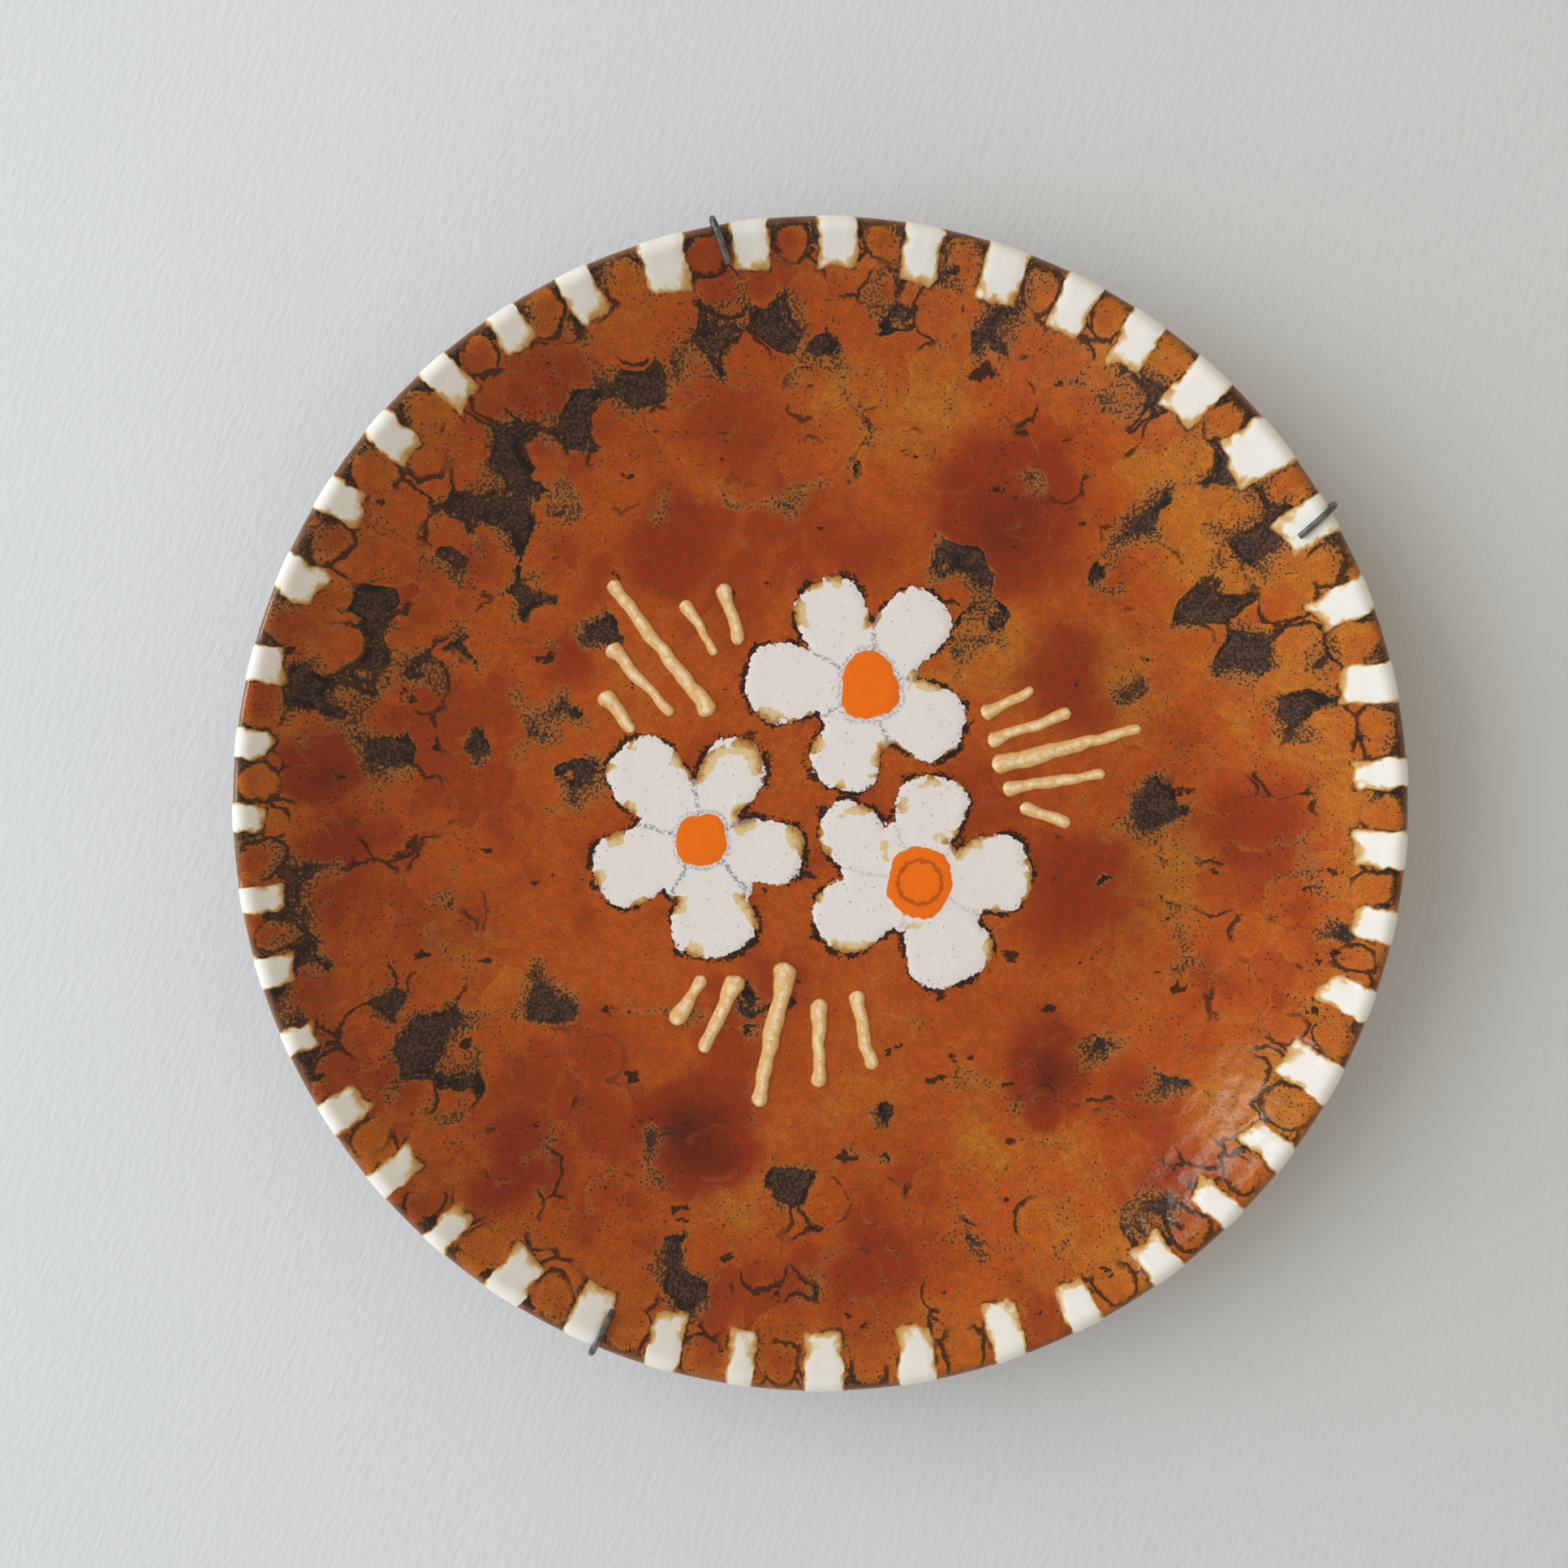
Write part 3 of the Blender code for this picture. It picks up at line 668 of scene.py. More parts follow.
def plate_profile():
    """The profile's points as (radius, height), from the middle of the face to the back."""
    radii = [0.050 * s / 46 for s in range(47)] + [0.050 + 0.035 * s / 24 for s in range(1, 25)]
    points = [Vector((radius, face_height(radius))) for radius in radii]
    edge = (PLATE_RADIUS - 0.016 - WELL_RADIUS) / RIM_RUN
    shares = [edge * s / 18 for s in range(1, 19)]
    shares += [edge + (1 - edge) * s / 14 for s in range(1, 14)]
    points += [Vector(rim_point(share)[:2]) for share in shares]
    for step in range(17):
        lean = -RIM_SLOPE + math.pi * step / 16
        ray = Vector((math.sin(lean), math.cos(lean)))
        points.append(Vector((LIP_CENTRE_RADIUS, LIP_CENTRE_HEIGHT)) + ray * LIP_RADIUS)
    points += [Vector(rim_back_point(1 - s / 16)) for s in range(1, 15)]
    foot = [
        Vector(rim_back_point(0.11)),
        Vector((FOOT_RADIUS + FOOT_ROUND, rim_back_point(0)[1])),
        Vector((FOOT_RADIUS, 0.0)),
        Vector((FOOT_INNER_RADIUS, 0.0)),
        Vector((FOOT_INNER_RADIUS - FOOT_ROUND, FOOT_HEIGHT)),
        Vector((FOOT_INNER_RADIUS - 0.006, FOOT_HEIGHT)),
    ]
    points += rounded(foot, 0.0009, 4)
    points += [Vector(((FOOT_INNER_RADIUS - 0.006) * (1 - s / 5), FOOT_HEIGHT)) for s in range(1, 6)]
    return points


profile = plate_profile()
print(len(profile), "points from the middle of the face to the middle of the back")

# %% Give the profile to Blender, with its distance along the glaze
unrolled = [0.0]
for before, after in zip(profile, profile[1:]):
    on_face = after.x > before.x and after.y > FOOT_HEIGHT
    step = after.x - before.x if on_face else (after - before).length
    unrolled.append(unrolled[-1] + step * 1000)

profile_mesh = bpy.data.meshes.new("plate_profile")
edges = [(i, i + 1) for i in range(len(profile) - 1)]
profile_mesh.from_pydata([(p.x, 0, p.y) for p in profile], edges, [])
reach = profile_mesh.attributes.new("unrolled", "FLOAT", "POINT")
reach.data.foreach_set("value", unrolled)
print("from the middle of the face to the edge:", round(unrolled[103], 1), "mm")

# %% [markdown]
# ## Turning the plate
# Geometry Nodes turn the profile, as the wheel does. A flat grid gets one row for each point
# of the profile and one column for each step round the axis, and then every point of the grid
# is moved to its place. The white dabs are lifted off the face here, with the same steps that
# will colour them, and the whole plate is then stood up against the wall.

# %% The turning tree
recipe, given, end = shape_tree(
    "turned_plate",
    {"Steps round": COUNT, "Dab rise": LENGTH, "Pour rise": LENGTH, "Finish": FINISH, "Back finish": FINISH},
)
rows = recipe.node("GeometryNodeAttributeDomainSize", {0: given["Geometry"]})
columns = recipe.add(given["Steps round"], 1.0)
grid = recipe.node("GeometryNodeMeshGrid", {2: rows, 3: columns})
index = recipe.node("GeometryNodeInputIndex")
row = recipe.math("FLOOR", recipe.math("DIVIDE", recipe.add(index, 0.5), columns))
column = recipe.math("FLOORED_MODULO", index, columns)
place_on_profile = recipe.node(
    "GeometryNodeSampleIndex",
    {0: given["Geometry"], 1: recipe.node("GeometryNodeInputPosition"), 2: row},
    data_type="FLOAT_VECTOR",
)
along = recipe.node(
    "GeometryNodeSampleIndex",
    {0: given["Geometry"], 1: recipe.node("GeometryNodeInputNamedAttribute", {0: "unrolled"}), 2: row},
)
radius, _, height = recipe.split(place_on_profile)
bearing = recipe.math("DIVIDE", recipe.times(column, math.tau), given["Steps round"])
decor_bearing = recipe.less(bearing, DECOR_TURN)
glaze_map = recipe.joined(
    recipe.times(along, recipe.math("COSINE", decor_bearing)),
    recipe.times(along, recipe.math("SINE", decor_bearing)),
)
turned = recipe.joined(
    recipe.times(radius, recipe.math("COSINE", bearing)),
    recipe.times(radius, recipe.math("SINE", bearing)),
    height,
)
body = recipe.node("GeometryNodeSetPosition", {0: grid, 2: turned})
body = recipe.node(
    "GeometryNodeStoreNamedAttribute",
    {0: body, 2: "glaze_map", 3: glaze_map},
    data_type="FLOAT_VECTOR",
)
body = recipe.node("GeometryNodeMergeByDistance", {0: body, 2: 0.000002})
glaze_place = recipe.node(
    "GeometryNodeInputNamedAttribute", {0: "glaze_map"}, data_type="FLOAT_VECTOR"
)
darker = dark_field(recipe, glaze_place)
white, orange = flower_distances(recipe, glaze_place)
fields = {
    "dark_place": darker,
    "red_cloud": cloud_field(recipe, glaze_place),
    "white_edge": white,
    "orange_edge": orange,
}
for name, value in fields.items():
    body = recipe.node("GeometryNodeStoreNamedAttribute", {0: body, 2: name, 3: value})
on_face = recipe.fade(recipe.vector("LENGTH", glaze_place), 140.0, 136.0)
amber = outside_all(recipe, amber_dabs(recipe, glaze_place, darker))
poured = recipe.fade(amber, 1.2, -1.8, 0.0, 0.3)
poured = recipe.add(poured, recipe.fade(white, 0.5, -1.2, 0.0, 0.7))
poured = recipe.add(poured, recipe.fade(orange, 0.5, -1.4, 0.0, 0.5))
poured = recipe.times(recipe.times(poured, on_face), given["Pour rise"])
lift = recipe.times(recipe.fade(lip_dab_distance(recipe, glaze_place), 0.5, -1.0), given["Dab rise"])
lift = recipe.highest(lift, poured)
past_edge = recipe.less(recipe.vector("LENGTH", glaze_place), 135.4)
lift = recipe.times(lift, recipe.fade(recipe.math("ABSOLUTE", past_edge), 0.2, 1.1))
lift = recipe.scaled(recipe.node("GeometryNodeInputNormal"), lift)
body = recipe.node("GeometryNodeSetPosition", {0: body, 3: lift})
stood = recipe.node(
    "GeometryNodeTransform",
    {0: body, 1: (0, EYE_SETBACK, PLATE_CENTRE_Z), 2: (math.radians(90), 0, 0)},
)
behind = recipe.math("GREATER_THAN", recipe.vector("LENGTH", glaze_place), 139.6)
finish_tree(recipe, stood, given["Finish"], end, behind, given["Back finish"])
turned_plate = recipe.tree
print("the turning tree has", len(turned_plate.nodes), "nodes")

# %% [markdown]
# ## The glaze
# The whole face is one glaze picture, so one material paints it. Everything in it is built
# from distances in millimetres on the plate: how far a spot is from the nearest amber dab,
# petal or white dab. A distance gives a sharp edge, a dark outline, a soft halo and a raised
# surface, all from the same number, and noise makes them look poured and not drawn.

# %% Start the glaze material


def new_material(name):
    """A material with an empty recipe, its surface shader and its object coordinates."""
    material = bpy.data.materials.new(name)
    material.use_nodes = True
    shader = material.node_tree.nodes["Principled BSDF"]
    recipe = Recipe(material.node_tree)
    coordinates = recipe.node("ShaderNodeTexCoord", output=3)
    return material, recipe, shader, recipe.scaled(coordinates, 1000.0)


glaze, paint, glaze_shader, _ = new_material("plate_glaze")
spot = paint.node("ShaderNodeAttribute", output=1, attribute_name="glaze_map")
from_middle = paint.vector("LENGTH", spot)
inset = paint.less(PLATE_RADIUS_MM, from_middle)
print("started", glaze.name)

# %% [markdown]
# ### The colours of the amber
# The amber runs from yellow-brown where it is thin to a dark red where it is thick. Each dab
# has its own tone, and towards its edge it thins to a browner, stippled border. Towards the
# right, where the rim faces the light, it is also painted yellower and less red: painted light.
# The coats are laid from the lowest to the highest, and each one covers what is under it.

# %% Lay the coats
coats = amber_dabs(paint, spot, paint.field("dark_place"))
outside_amber = outside_all(paint, coats)
own_edge, own_tone = coats[0]
for distance, chance in coats[1:]:
    covers = paint.math("LESS_THAN", distance, 0.0)
    own_edge = paint.choose(covers, own_edge, distance)
    own_tone = paint.choose(covers, own_tone, chance)
print("coats of amber:", len(coats))

# %% Colour the amber
AMBER = (0.54, 0.095, 0.006, 1)
AMBER_YELLOW = (0.60, 0.185, 0.014, 1)
AMBER_THIN = (0.47, 0.175, 0.036, 1)
RED_BROWN = (0.33, 0.032, 0.003, 1)
DARK_RED = (0.12, 0.008, 0.002, 1)
near_rim = paint.fade(from_middle, 60.0, 100.0)
own_tone = paint.times(paint.less(own_tone, 0.5), paint.fade(near_rim, 0.0, 1.0, 0.04, 0.12))
own_tone = paint.add(own_tone, paint.fade(own_edge, -5.5, 0.0, -0.02, 0.05))
thrown = paint.noise(paint.joined(from_middle, paint.times(bearing_share(paint, spot), 14.0)), 5.0, 2.0, 12)
own_tone = paint.add(own_tone, paint.times(paint.less(thrown, 0.5), 0.14))
tone = paint.add(paint.noise(spot, 34.0, 3.0, 11), own_tone)
# Painted light: the x term makes the right side, where the rim faces the light, yellower and less red. The rim term
# adds a little of the same tint all round the rim.
lit_right_and_rim_tint = paint.add(paint.times(paint.split(spot)[0], 0.0012), paint.times(near_rim, 0.05))
yellow = paint.fade(paint.add(tone, lit_right_and_rim_tint), 0.58, 0.88)
yellow = paint.highest(yellow, paint.fade(inset, 19.0, 8.0, 0.0, 0.45))
amber = paint.mix(yellow, AMBER, AMBER_YELLOW)
red = paint.fade(paint.less(1.0, paint.add(tone, paint.times(lit_right_and_rim_tint, 0.5))), 0.46, 0.68, 0.0, 0.75)
cloud = paint.add(paint.field("red_cloud"), paint.times(paint.less(tone, 0.5), -0.3))
amber = paint.mix(paint.highest(red, paint.fade(cloud, 0.05, 0.5)), amber, RED_BROWN)
amber = paint.mix(paint.fade(cloud, 0.55, 1.0), amber, DARK_RED)
soft_edge = paint.fade(paint.noise(spot, 13.0, 2.0, 15), 0.40, 0.62)
thin_reach = paint.add(paint.times(paint.field("dark_place"), 1.2), 1.0)
thin_reach = paint.times(paint.fade(soft_edge, 0.0, 1.0, -0.8, -5.0), thin_reach)
thin = paint.fade(outside_amber, thin_reach, 0.0)
border = paint.fade(own_edge, -1.6, 0.0, 0.0, 0.42)
border = paint.times(border, near_rim)
thin = paint.highest(thin, paint.times(border, paint.fade(paint.noise(spot, 9.0, 2.0, 16), 0.42, 0.58)))
amber = paint.mix(paint.times(thin, 0.85), amber, AMBER_THIN)

# %% [markdown]
# Dark flecks of the ground come up through the amber: a few in the middle of a dab, where
# they lie in faint rings, and many where the amber is thin. Small noise is cut at a level
# that depends on how many are wanted, as a halftone print does. Short black smudges lie in
# it too.

# %% Stipple the amber
FLECK = (0.050, 0.018, 0.008, 1)
GROUND_LINE = (0.012, 0.007, 0.005, 1)
fine = paint.noise(spot, 0.72, 1.0, 21)
grain = paint.add(paint.times(fine, 0.6), paint.times(paint.noise(spot, 2.2, 2.0, 24), 0.4))
amber = paint.mix(paint.fade(grain, 0.62, 0.40, 0.0, 0.34), amber, (0.13, 0.030, 0.006, 1))
in_rings = paint.times(paint.math("SINE", paint.times(own_edge, 4.4)), 0.03)
fleck_places = paint.fade(paint.noise(spot, 9.0, 2.0, 22), 0.34, 0.62, 0.01, 0.10)
fleck_places = paint.times(fleck_places, paint.fade(near_rim, 0.0, 1.0, 0.5, 1.0))
wanted = paint.add(paint.add(fleck_places, paint.times(thin, 0.23)), in_rings)
fleck = paint.fade(paint.add(fine, wanted), 0.735, 0.80)
amber = paint.mix(paint.times(fleck, 0.85), amber, FLECK)
ragged = paint.times(paint.less(paint.noise(spot, 0.9, 2.0, 33), 0.5), 2.6)
arc = paint.add(paint.math("ABSOLUTE", paint.add(own_edge, 0.3)), paint.times(ragged, 0.5))
arc_places = paint.add(paint.noise(spot, 14.0, 2.0, 23), paint.times(paint.field("dark_place"), 0.20))
arc_places = paint.add(arc_places, paint.fade(inset, 15.0, 9.0, 0.0, 0.16))
arc = paint.times(paint.fade(arc, 1.0, 0.4), paint.fade(arc_places, 0.56, 0.66))
amber = paint.mix(paint.times(paint.times(arc, near_rim), 0.85), amber, GROUND_LINE)
slanted = paint.node("ShaderNodeMapping", {"Vector": spot, "Rotation": (0, 0, 0.9), "Scale": (1, 1.5, 1)})
smudge = paint.add(paint.noise(slanted, 11.0, 3.0, 35), paint.times(paint.less(fine, 0.5), 0.10))
smudge = paint.fade(smudge, 0.712, 0.745)
amber = paint.mix(paint.times(smudge, 0.9), amber, GROUND_LINE)

# %% [markdown]
# ### The ground in the gaps
# The ground is nearly black in a line along the edge of each dab and a speckled brown further
# in.

# %% Colour the ground
GROUND_BROWN = (0.024, 0.012, 0.009, 1)
GROUND_SPECK = (0.105, 0.045, 0.027, 1)
cloudy = paint.times(paint.noise(spot, 3.0, 2.0, 31), 0.5)
ground = paint.mix(paint.fade(paint.add(fine, cloudy), 0.62, 0.92), GROUND_BROWN, GROUND_SPECK)
line_width = paint.fade(paint.noise(spot, 7.0, 2.0, 32), 0.35, 0.65, 0.4, 2.4)
line = paint.fade(outside_amber, paint.times(line_width, 1.4), paint.times(line_width, 0.5))
line = paint.times(line, paint.fade(soft_edge, 0.0, 1.0, 1.0, 0.2))
ground = paint.mix(line, ground, GROUND_LINE)
frayed_gap = paint.times(ragged, paint.fade(soft_edge, 0.0, 1.0, 0.7, 2.4))
in_gap = paint.fade(paint.add(outside_amber, frayed_gap), -0.45, 0.35)
base = paint.mix(in_gap, amber, ground)
print("the ground shows in the gaps")

# %% [markdown]
# ### The white glaze and its outlines
# The white glaze pushed the amber aside, so a ragged black line lies round every petal. In
# places the white thins out to cream and tan just inside it. Grey-blue lines run out from the
# orange centre between the petals: a curve tells how far a bearing is from the nearest line.

# %% Lines between the petals


def seam_distance(recipe, where, middle, petals, notches):
    """Millimetres from the nearest line between this flower's petals."""

    def nearest(bearing):
        return min(abs((bearing - line[0] + 180) % 360 - 180) for line in notches)

    points = [(line[0], 0.0) for line in notches]
    points += [(petal[0], nearest(petal[0]) / 360) for petal in petals]
    away = recipe.vector("SUBTRACT", where, (*middle, 0.0))
    length = recipe.vector("LENGTH", away)
    turns = round_curve(recipe, bearing_share(recipe, away), points)
    distance = recipe.times(recipe.times(turns, math.tau), length)
    return recipe.add(distance, recipe.fade(length, 22.0, 25.0, 0.0, 10.0))


fray = paint.less(paint.noise(spot, 1.5, 2.0, 42), 0.5)
jagged = paint.less(paint.noise(spot, 0.75, 2.0, 43), 0.5)
outside_white = paint.add(paint.field("white_edge"), paint.times(fray, 1.5))
outside_orange = paint.add(paint.field("orange_edge"), paint.times(fray, 0.7))
bent = paint.wobbled(spot, 4.0, 0.9, 1.0, seed=44)
seam = 0.0
for middle, _, strength, petals, notches in FLOWERS:
    distance = paint.add(seam_distance(paint, bent, middle, petals, notches), jagged)
    seam = paint.highest(seam, paint.fade(distance, 0.85, 0.1, 0.0, strength))
around = paint.fade(paint.math("ABSOLUTE", paint.less(outside_orange, 0.6)), 0.8, 0.1, 0.0, 0.55)
around = paint.times(around, paint.fade(paint.vector("DISTANCE", spot, (24.1, -19.0, 0)), 14.0, 17.0))
seam = paint.highest(seam, around)
print("lines between the petals of", len(FLOWERS), "flowers")

# %% Paint the flowers
WHITE = (0.88, 0.82, 0.80, 1)
CREAM = (0.80, 0.60, 0.30, 1)
TAN = (0.52, 0.23, 0.050, 1)
ORANGE = (0.98, 0.175, 0.001, 1)
outline_reach = paint.fade(paint.noise(spot, 6.0, 2.0, 45), 0.36, 0.62, 0.1, 1.5)
outline = paint.add(outside_white, paint.times(jagged, 2.6))
outline = paint.fade(outline, outline_reach, paint.times(outline_reach, 0.6))
base = paint.mix(paint.times(outline, 0.95), base, GROUND_LINE)
thin_white = paint.fade(paint.noise(spot, 9.0, 2.0, 46), 0.50, 0.66)
edge_colour = paint.mix(paint.fade(outside_white, -1.7, -0.2), CREAM, TAN)
thin_line = paint.less(paint.times(thin_white, -2.6), 0.1)
inside_share = paint.fade(paint.add(outside_white, jagged), thin_line, paint.add(thin_line, 0.5))
white = paint.mix(inside_share, WHITE, edge_colour)
near_edge = paint.fade(outside_white, -1.6, 0.0, 0.0, 0.09)
speck = paint.fade(paint.add(fine, near_edge), 0.765, 0.81)
white = paint.mix(paint.times(speck, 0.8), white, (0.08, 0.065, 0.06, 1))
seam_grain = paint.fade(fine, 0.36, 0.60)
white = paint.mix(paint.times(paint.times(seam, seam_grain), 0.9), white, (0.17, 0.21, 0.32, 1))
in_white = paint.fade(paint.add(outside_white, paint.times(jagged, 0.5)), 0.15, -0.15)
base = paint.mix(in_white, base, white)
in_orange = paint.fade(outside_orange, 0.15, -0.2)
orange_tone = paint.mix(paint.fade(outside_orange, -0.9, 0.0, 0.0, 0.6), ORANGE, (0.80, 0.20, 0.012, 1))
ring = paint.vector("DISTANCE", spot, (24.1, -19.0, 0))
ring = paint.math("ABSOLUTE", paint.less(paint.add(ring, paint.times(fray, 1.4)), 5.2))
orange_tone = paint.mix(paint.fade(ring, 0.75, 0.2, 0.0, 0.8), orange_tone, (0.45, 0.075, 0.008, 1))
base = paint.mix(in_orange, base, orange_tone)
print("the flowers are painted")

# %% [markdown]
# ### The white dabs on the lip
# The dabs are the same white glaze. Their edges thin out to cream and amber, most of all at
# the inner ends, and the dark ground shows beside them. Between the dabs the lip is bare of
# amber and has a thin, brown, half-transparent glaze.

# %% Paint the lip
outside_dab = lip_dab_distance(paint, spot)
lip_brown = paint.mix(paint.noise(spot, 5.0, 3.0, 51), (0.17, 0.060, 0.024, 1), (0.40, 0.17, 0.065, 1))
base = paint.mix(paint.fade(inset, 2.6, 0.2, 0.0, 0.8), base, lip_brown)
dab_line_reach = paint.fade(paint.noise(spot, 4.5, 2.0, 52), 0.44, 0.62, 0.0, 1.1)
dab_line = paint.add(outside_dab, paint.times(jagged, 1.6))
dab_line = paint.fade(dab_line, dab_line_reach, 0.0, 0.0, 0.9)
dab_line = paint.times(dab_line, paint.fade(inset, 0.0, 3.0))
base = paint.mix(dab_line, base, GROUND_LINE)
tip = paint.fade(inset, 3.0, 10.0, 0.8, 2.3)
thin_dab = paint.times(tip, paint.fade(paint.noise(spot, 3.6, 2.0, 53), 0.36, 0.66, 0.45, 1.4))
dab_share = paint.add(outside_dab, paint.times(fray, 0.6))
dab_share = paint.fade(dab_share, paint.times(thin_dab, -1.0), paint.times(thin_dab, -0.35))
dab_edge = paint.mix(paint.fade(outside_dab, paint.times(thin_dab, -0.8), 0.2), CREAM, (0.60, 0.27, 0.05, 1))
dab_white = paint.mix(dab_share, (0.90, 0.86, 0.80, 1), dab_edge)
in_dab = paint.fade(outside_dab, 0.35, -0.35)
base = paint.mix(in_dab, base, dab_white)
paint.feed(glaze_shader.inputs["Base Color"], base)
print("the lip is painted")

# %% [markdown]
# ### Gloss and relief of the glaze
# Glaze is glass: it is smooth, and the mesh already stands up where it is thick. Wide, low
# noise makes the reflections swim, as they do on a hand-dipped plate, and faint rings are
# left from the throwing. The dry ground in the gaps is duller than the glaze.

# %% Relief and gloss
relief = paint.times(paint.noise(spot, 16.0, 2.0, 71), 0.42)
relief = paint.add(relief, paint.times(paint.noise(spot, 2.6, 2.0, 72), 0.05))
rings = paint.times(paint.math("SINE", paint.times(from_middle, 1.35)), 0.012)
bump = paint.node("ShaderNodeBump", {"Distance": 0.001, "Height": paint.add(relief, rings)})
paint.feed(glaze_shader.inputs["Normal"], bump)
glaze_shader.inputs["Specular IOR Level"].default_value = 0.4
gloss = paint.fade(in_gap, 0.0, 1.0, 0.13, 0.30)
gloss = paint.highest(gloss, paint.times(in_white, 0.24))
paint.feed(glaze_shader.inputs["Roughness"], gloss)
print("the glaze material has", len(glaze.node_tree.nodes), "nodes")

# %% [markdown]
# ### The back and the foot
# The underside has a plain brown glaze that is wiped off the face of the foot ring. There the
# bare buff clay shows, because glaze there would stick to the kiln shelf. The depth of a spot
# tells the foot's face from the rest.

# %% Paint the back
back_glaze, behind, behind_shader, behind_mm = new_material("back_glaze")
back_tone = behind.noise(behind_mm, 14.0, 4.0, 61, flat=False)
back_tone = behind.fade(back_tone, 0.35, 0.7)
back = behind.mix(back_tone, (0.125, 0.036, 0.013, 1), (0.30, 0.098, 0.028, 1))
back_fleck = behind.fade(behind.noise(behind_mm, 0.9, 2.0, 62, flat=False), 0.60, 0.68)
back = behind.mix(behind.times(back_fleck, 0.6), back, (0.030, 0.014, 0.009, 1))
clay_grain = behind.noise(behind_mm, 1.2, 4.0, 63, flat=False)
clay = behind.mix(clay_grain, (0.40, 0.24, 0.135, 1), (0.62, 0.42, 0.27, 1))
wiping = behind.times(behind.less(behind.noise(behind_mm, 4.0, 2.0, 64, flat=False), 0.5), 1.6)
on_foot = behind.fade(behind.add(behind.split(behind_mm)[1], wiping), 0.35, 0.9)
behind.feed(behind_shader.inputs["Base Color"], behind.mix(on_foot, back, clay))
behind.feed(behind_shader.inputs["Roughness"], behind.fade(on_foot, 0.0, 1.0, 0.18, 0.85))
unevenness = behind.times(behind.noise(behind_mm, 9.0, 3.0, 65, flat=False), 0.35)
unevenness = behind.add(unevenness, behind.times(behind.times(clay_grain, on_foot), 0.12))
behind.feed(
    behind_shader.inputs["Normal"],
    behind.node("ShaderNodeBump", {"Distance": 0.001, "Height": unevenness}),
)

# %% Turn the plate
plate = make_piece(
    "glazed_plate", profile_mesh, turned_plate,
    {"Steps round": 602, "Dab rise": 0.0005, "Pour rise": 0.0004, "Finish": glaze, "Back finish": back_glaze},
)
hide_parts("plate")
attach(plate, "root")
print("faces point out:", plate.data.polygons[0].normal.y < 0)

# %% [markdown]
# ## Trailed slip
# Three fans of lines were trailed with a slip bottle: each starts at its thick end and runs
# out thinner, in a hand's unsteady line. They stand a millimetre proud. A line swept along
# with an oval outline, half sunk in the floor, gives that shape, and the nodes give its
# wobble, its taper and its round ends.

# %% The lines of the three fans
# Each line: radius and bearing of its thick end, its own bearing, its length, and its width
# at the start and at the end.
SLIP_STROKES = (
    (0.033, 141, 127, 0.040, 0.0042, 0.0030), (0.063, 143, -48, 0.023, 0.0038, 0.0023),
    (0.058, 153, -52, 0.012, 0.0050, 0.0022), (0.058, 124, -59, 0.015, 0.0034, 0.0018),
    (0.057, 114, -73, 0.015, 0.0034, 0.0026), (0.044, 28, 28, 0.014, 0.0036, 0.0018),
    (0.043, 20, 19, 0.021, 0.0034, 0.0025), (0.042, 12, 14, 0.037, 0.0050, 0.0022),
    (0.044, 4, 9, 0.025, 0.0034, 0.0023), (0.048, -1, -19, 0.013, 0.0032, 0.0028),
    (0.063, -123, 60, 0.013, 0.0042, 0.0023), (0.045, -115, -116, 0.021, 0.0046, 0.0024),
    (0.039, -101, -102, 0.035, 0.0048, 0.0034), (0.047, -90, -90, 0.021, 0.0038, 0.0031),
    (0.046, -79, -78, 0.019, 0.0037, 0.0031),
)
spots, widths = [], []
for radius, start_bearing, bearing, length, thick, thin in SLIP_STROKES:
    start = polar(radius, math.radians(start_bearing) + DECOR_TURN)
    finish = start + polar(length, math.radians(bearing) + DECOR_TURN)
    spots += [(start.x, start.y, 0), (finish.x, finish.y, 0)]
    widths += [thick / 2, thin / 2]
stroke_mesh = bpy.data.meshes.new("stroke_lines")
stroke_mesh.from_pydata(spots, [(i, i + 1) for i in range(0, len(spots), 2)], [])
half_widths = stroke_mesh.attributes.new("half_width", "FLOAT", "POINT")
half_widths.data.foreach_set("value", widths)
print("trailed lines:", len(SLIP_STROKES))

# %% The slip tree
recipe, given, end = shape_tree(
    "trailed_slip",
    {"Steps along": COUNT, "Steps round": COUNT, "Wobble": LENGTH, "Flatness": LENGTH, "Finish": FINISH},
)
lines = recipe.node("GeometryNodeMeshToCurve", {0: given["Geometry"]})
lines = recipe.node("GeometryNodeResampleCurve", {0: lines, "Count": given["Steps along"]})
here = recipe.node("GeometryNodeInputPosition")
here_mm = recipe.scaled(here, 1000.0)
sway = recipe.vector("SUBTRACT", recipe.noise(here_mm, 7.0, 1.0, 3, output=1), (0.5, 0.5, 0.5))
sway = recipe.vector("MULTIPLY", sway, (1, 1, 0))
sway = recipe.scaled(sway, given["Wobble"])
lines = recipe.node("GeometryNodeSetPosition", {0: lines, 3: sway})
out = recipe.math("DIVIDE", recipe.vector("LENGTH", here), WELL_RADIUS)
floor = recipe.add(recipe.times(recipe.times(out, out), FLOOR_DISH), FLOOR_HEIGHT)
lines = recipe.node("GeometryNodeSetPosition", {0: lines, 3: recipe.joined(0.0, 0.0, floor)})
lines = recipe.node("GeometryNodeSetCurveNormal", {0: lines}, mode="Z_UP")
half_width = recipe.node("GeometryNodeInputNamedAttribute", {0: "half_width"})
length_so_far = recipe.node("GeometryNodeSplineParameter", output=1)
whole_length = recipe.node("GeometryNodeSplineLength")
from_end = recipe.lowest(length_so_far, recipe.less(whole_length, length_so_far))
roundness = recipe.less(1.0, recipe.lowest(recipe.math("DIVIDE", from_end, half_width), 1.0))
roundness = recipe.math("SQRT", recipe.highest(recipe.less(1.0, recipe.times(roundness, roundness)), 0.01))
lumps = recipe.fade(recipe.noise(here_mm, 7.0, 1.0, 5), 0.25, 0.75, 0.88, 1.12)
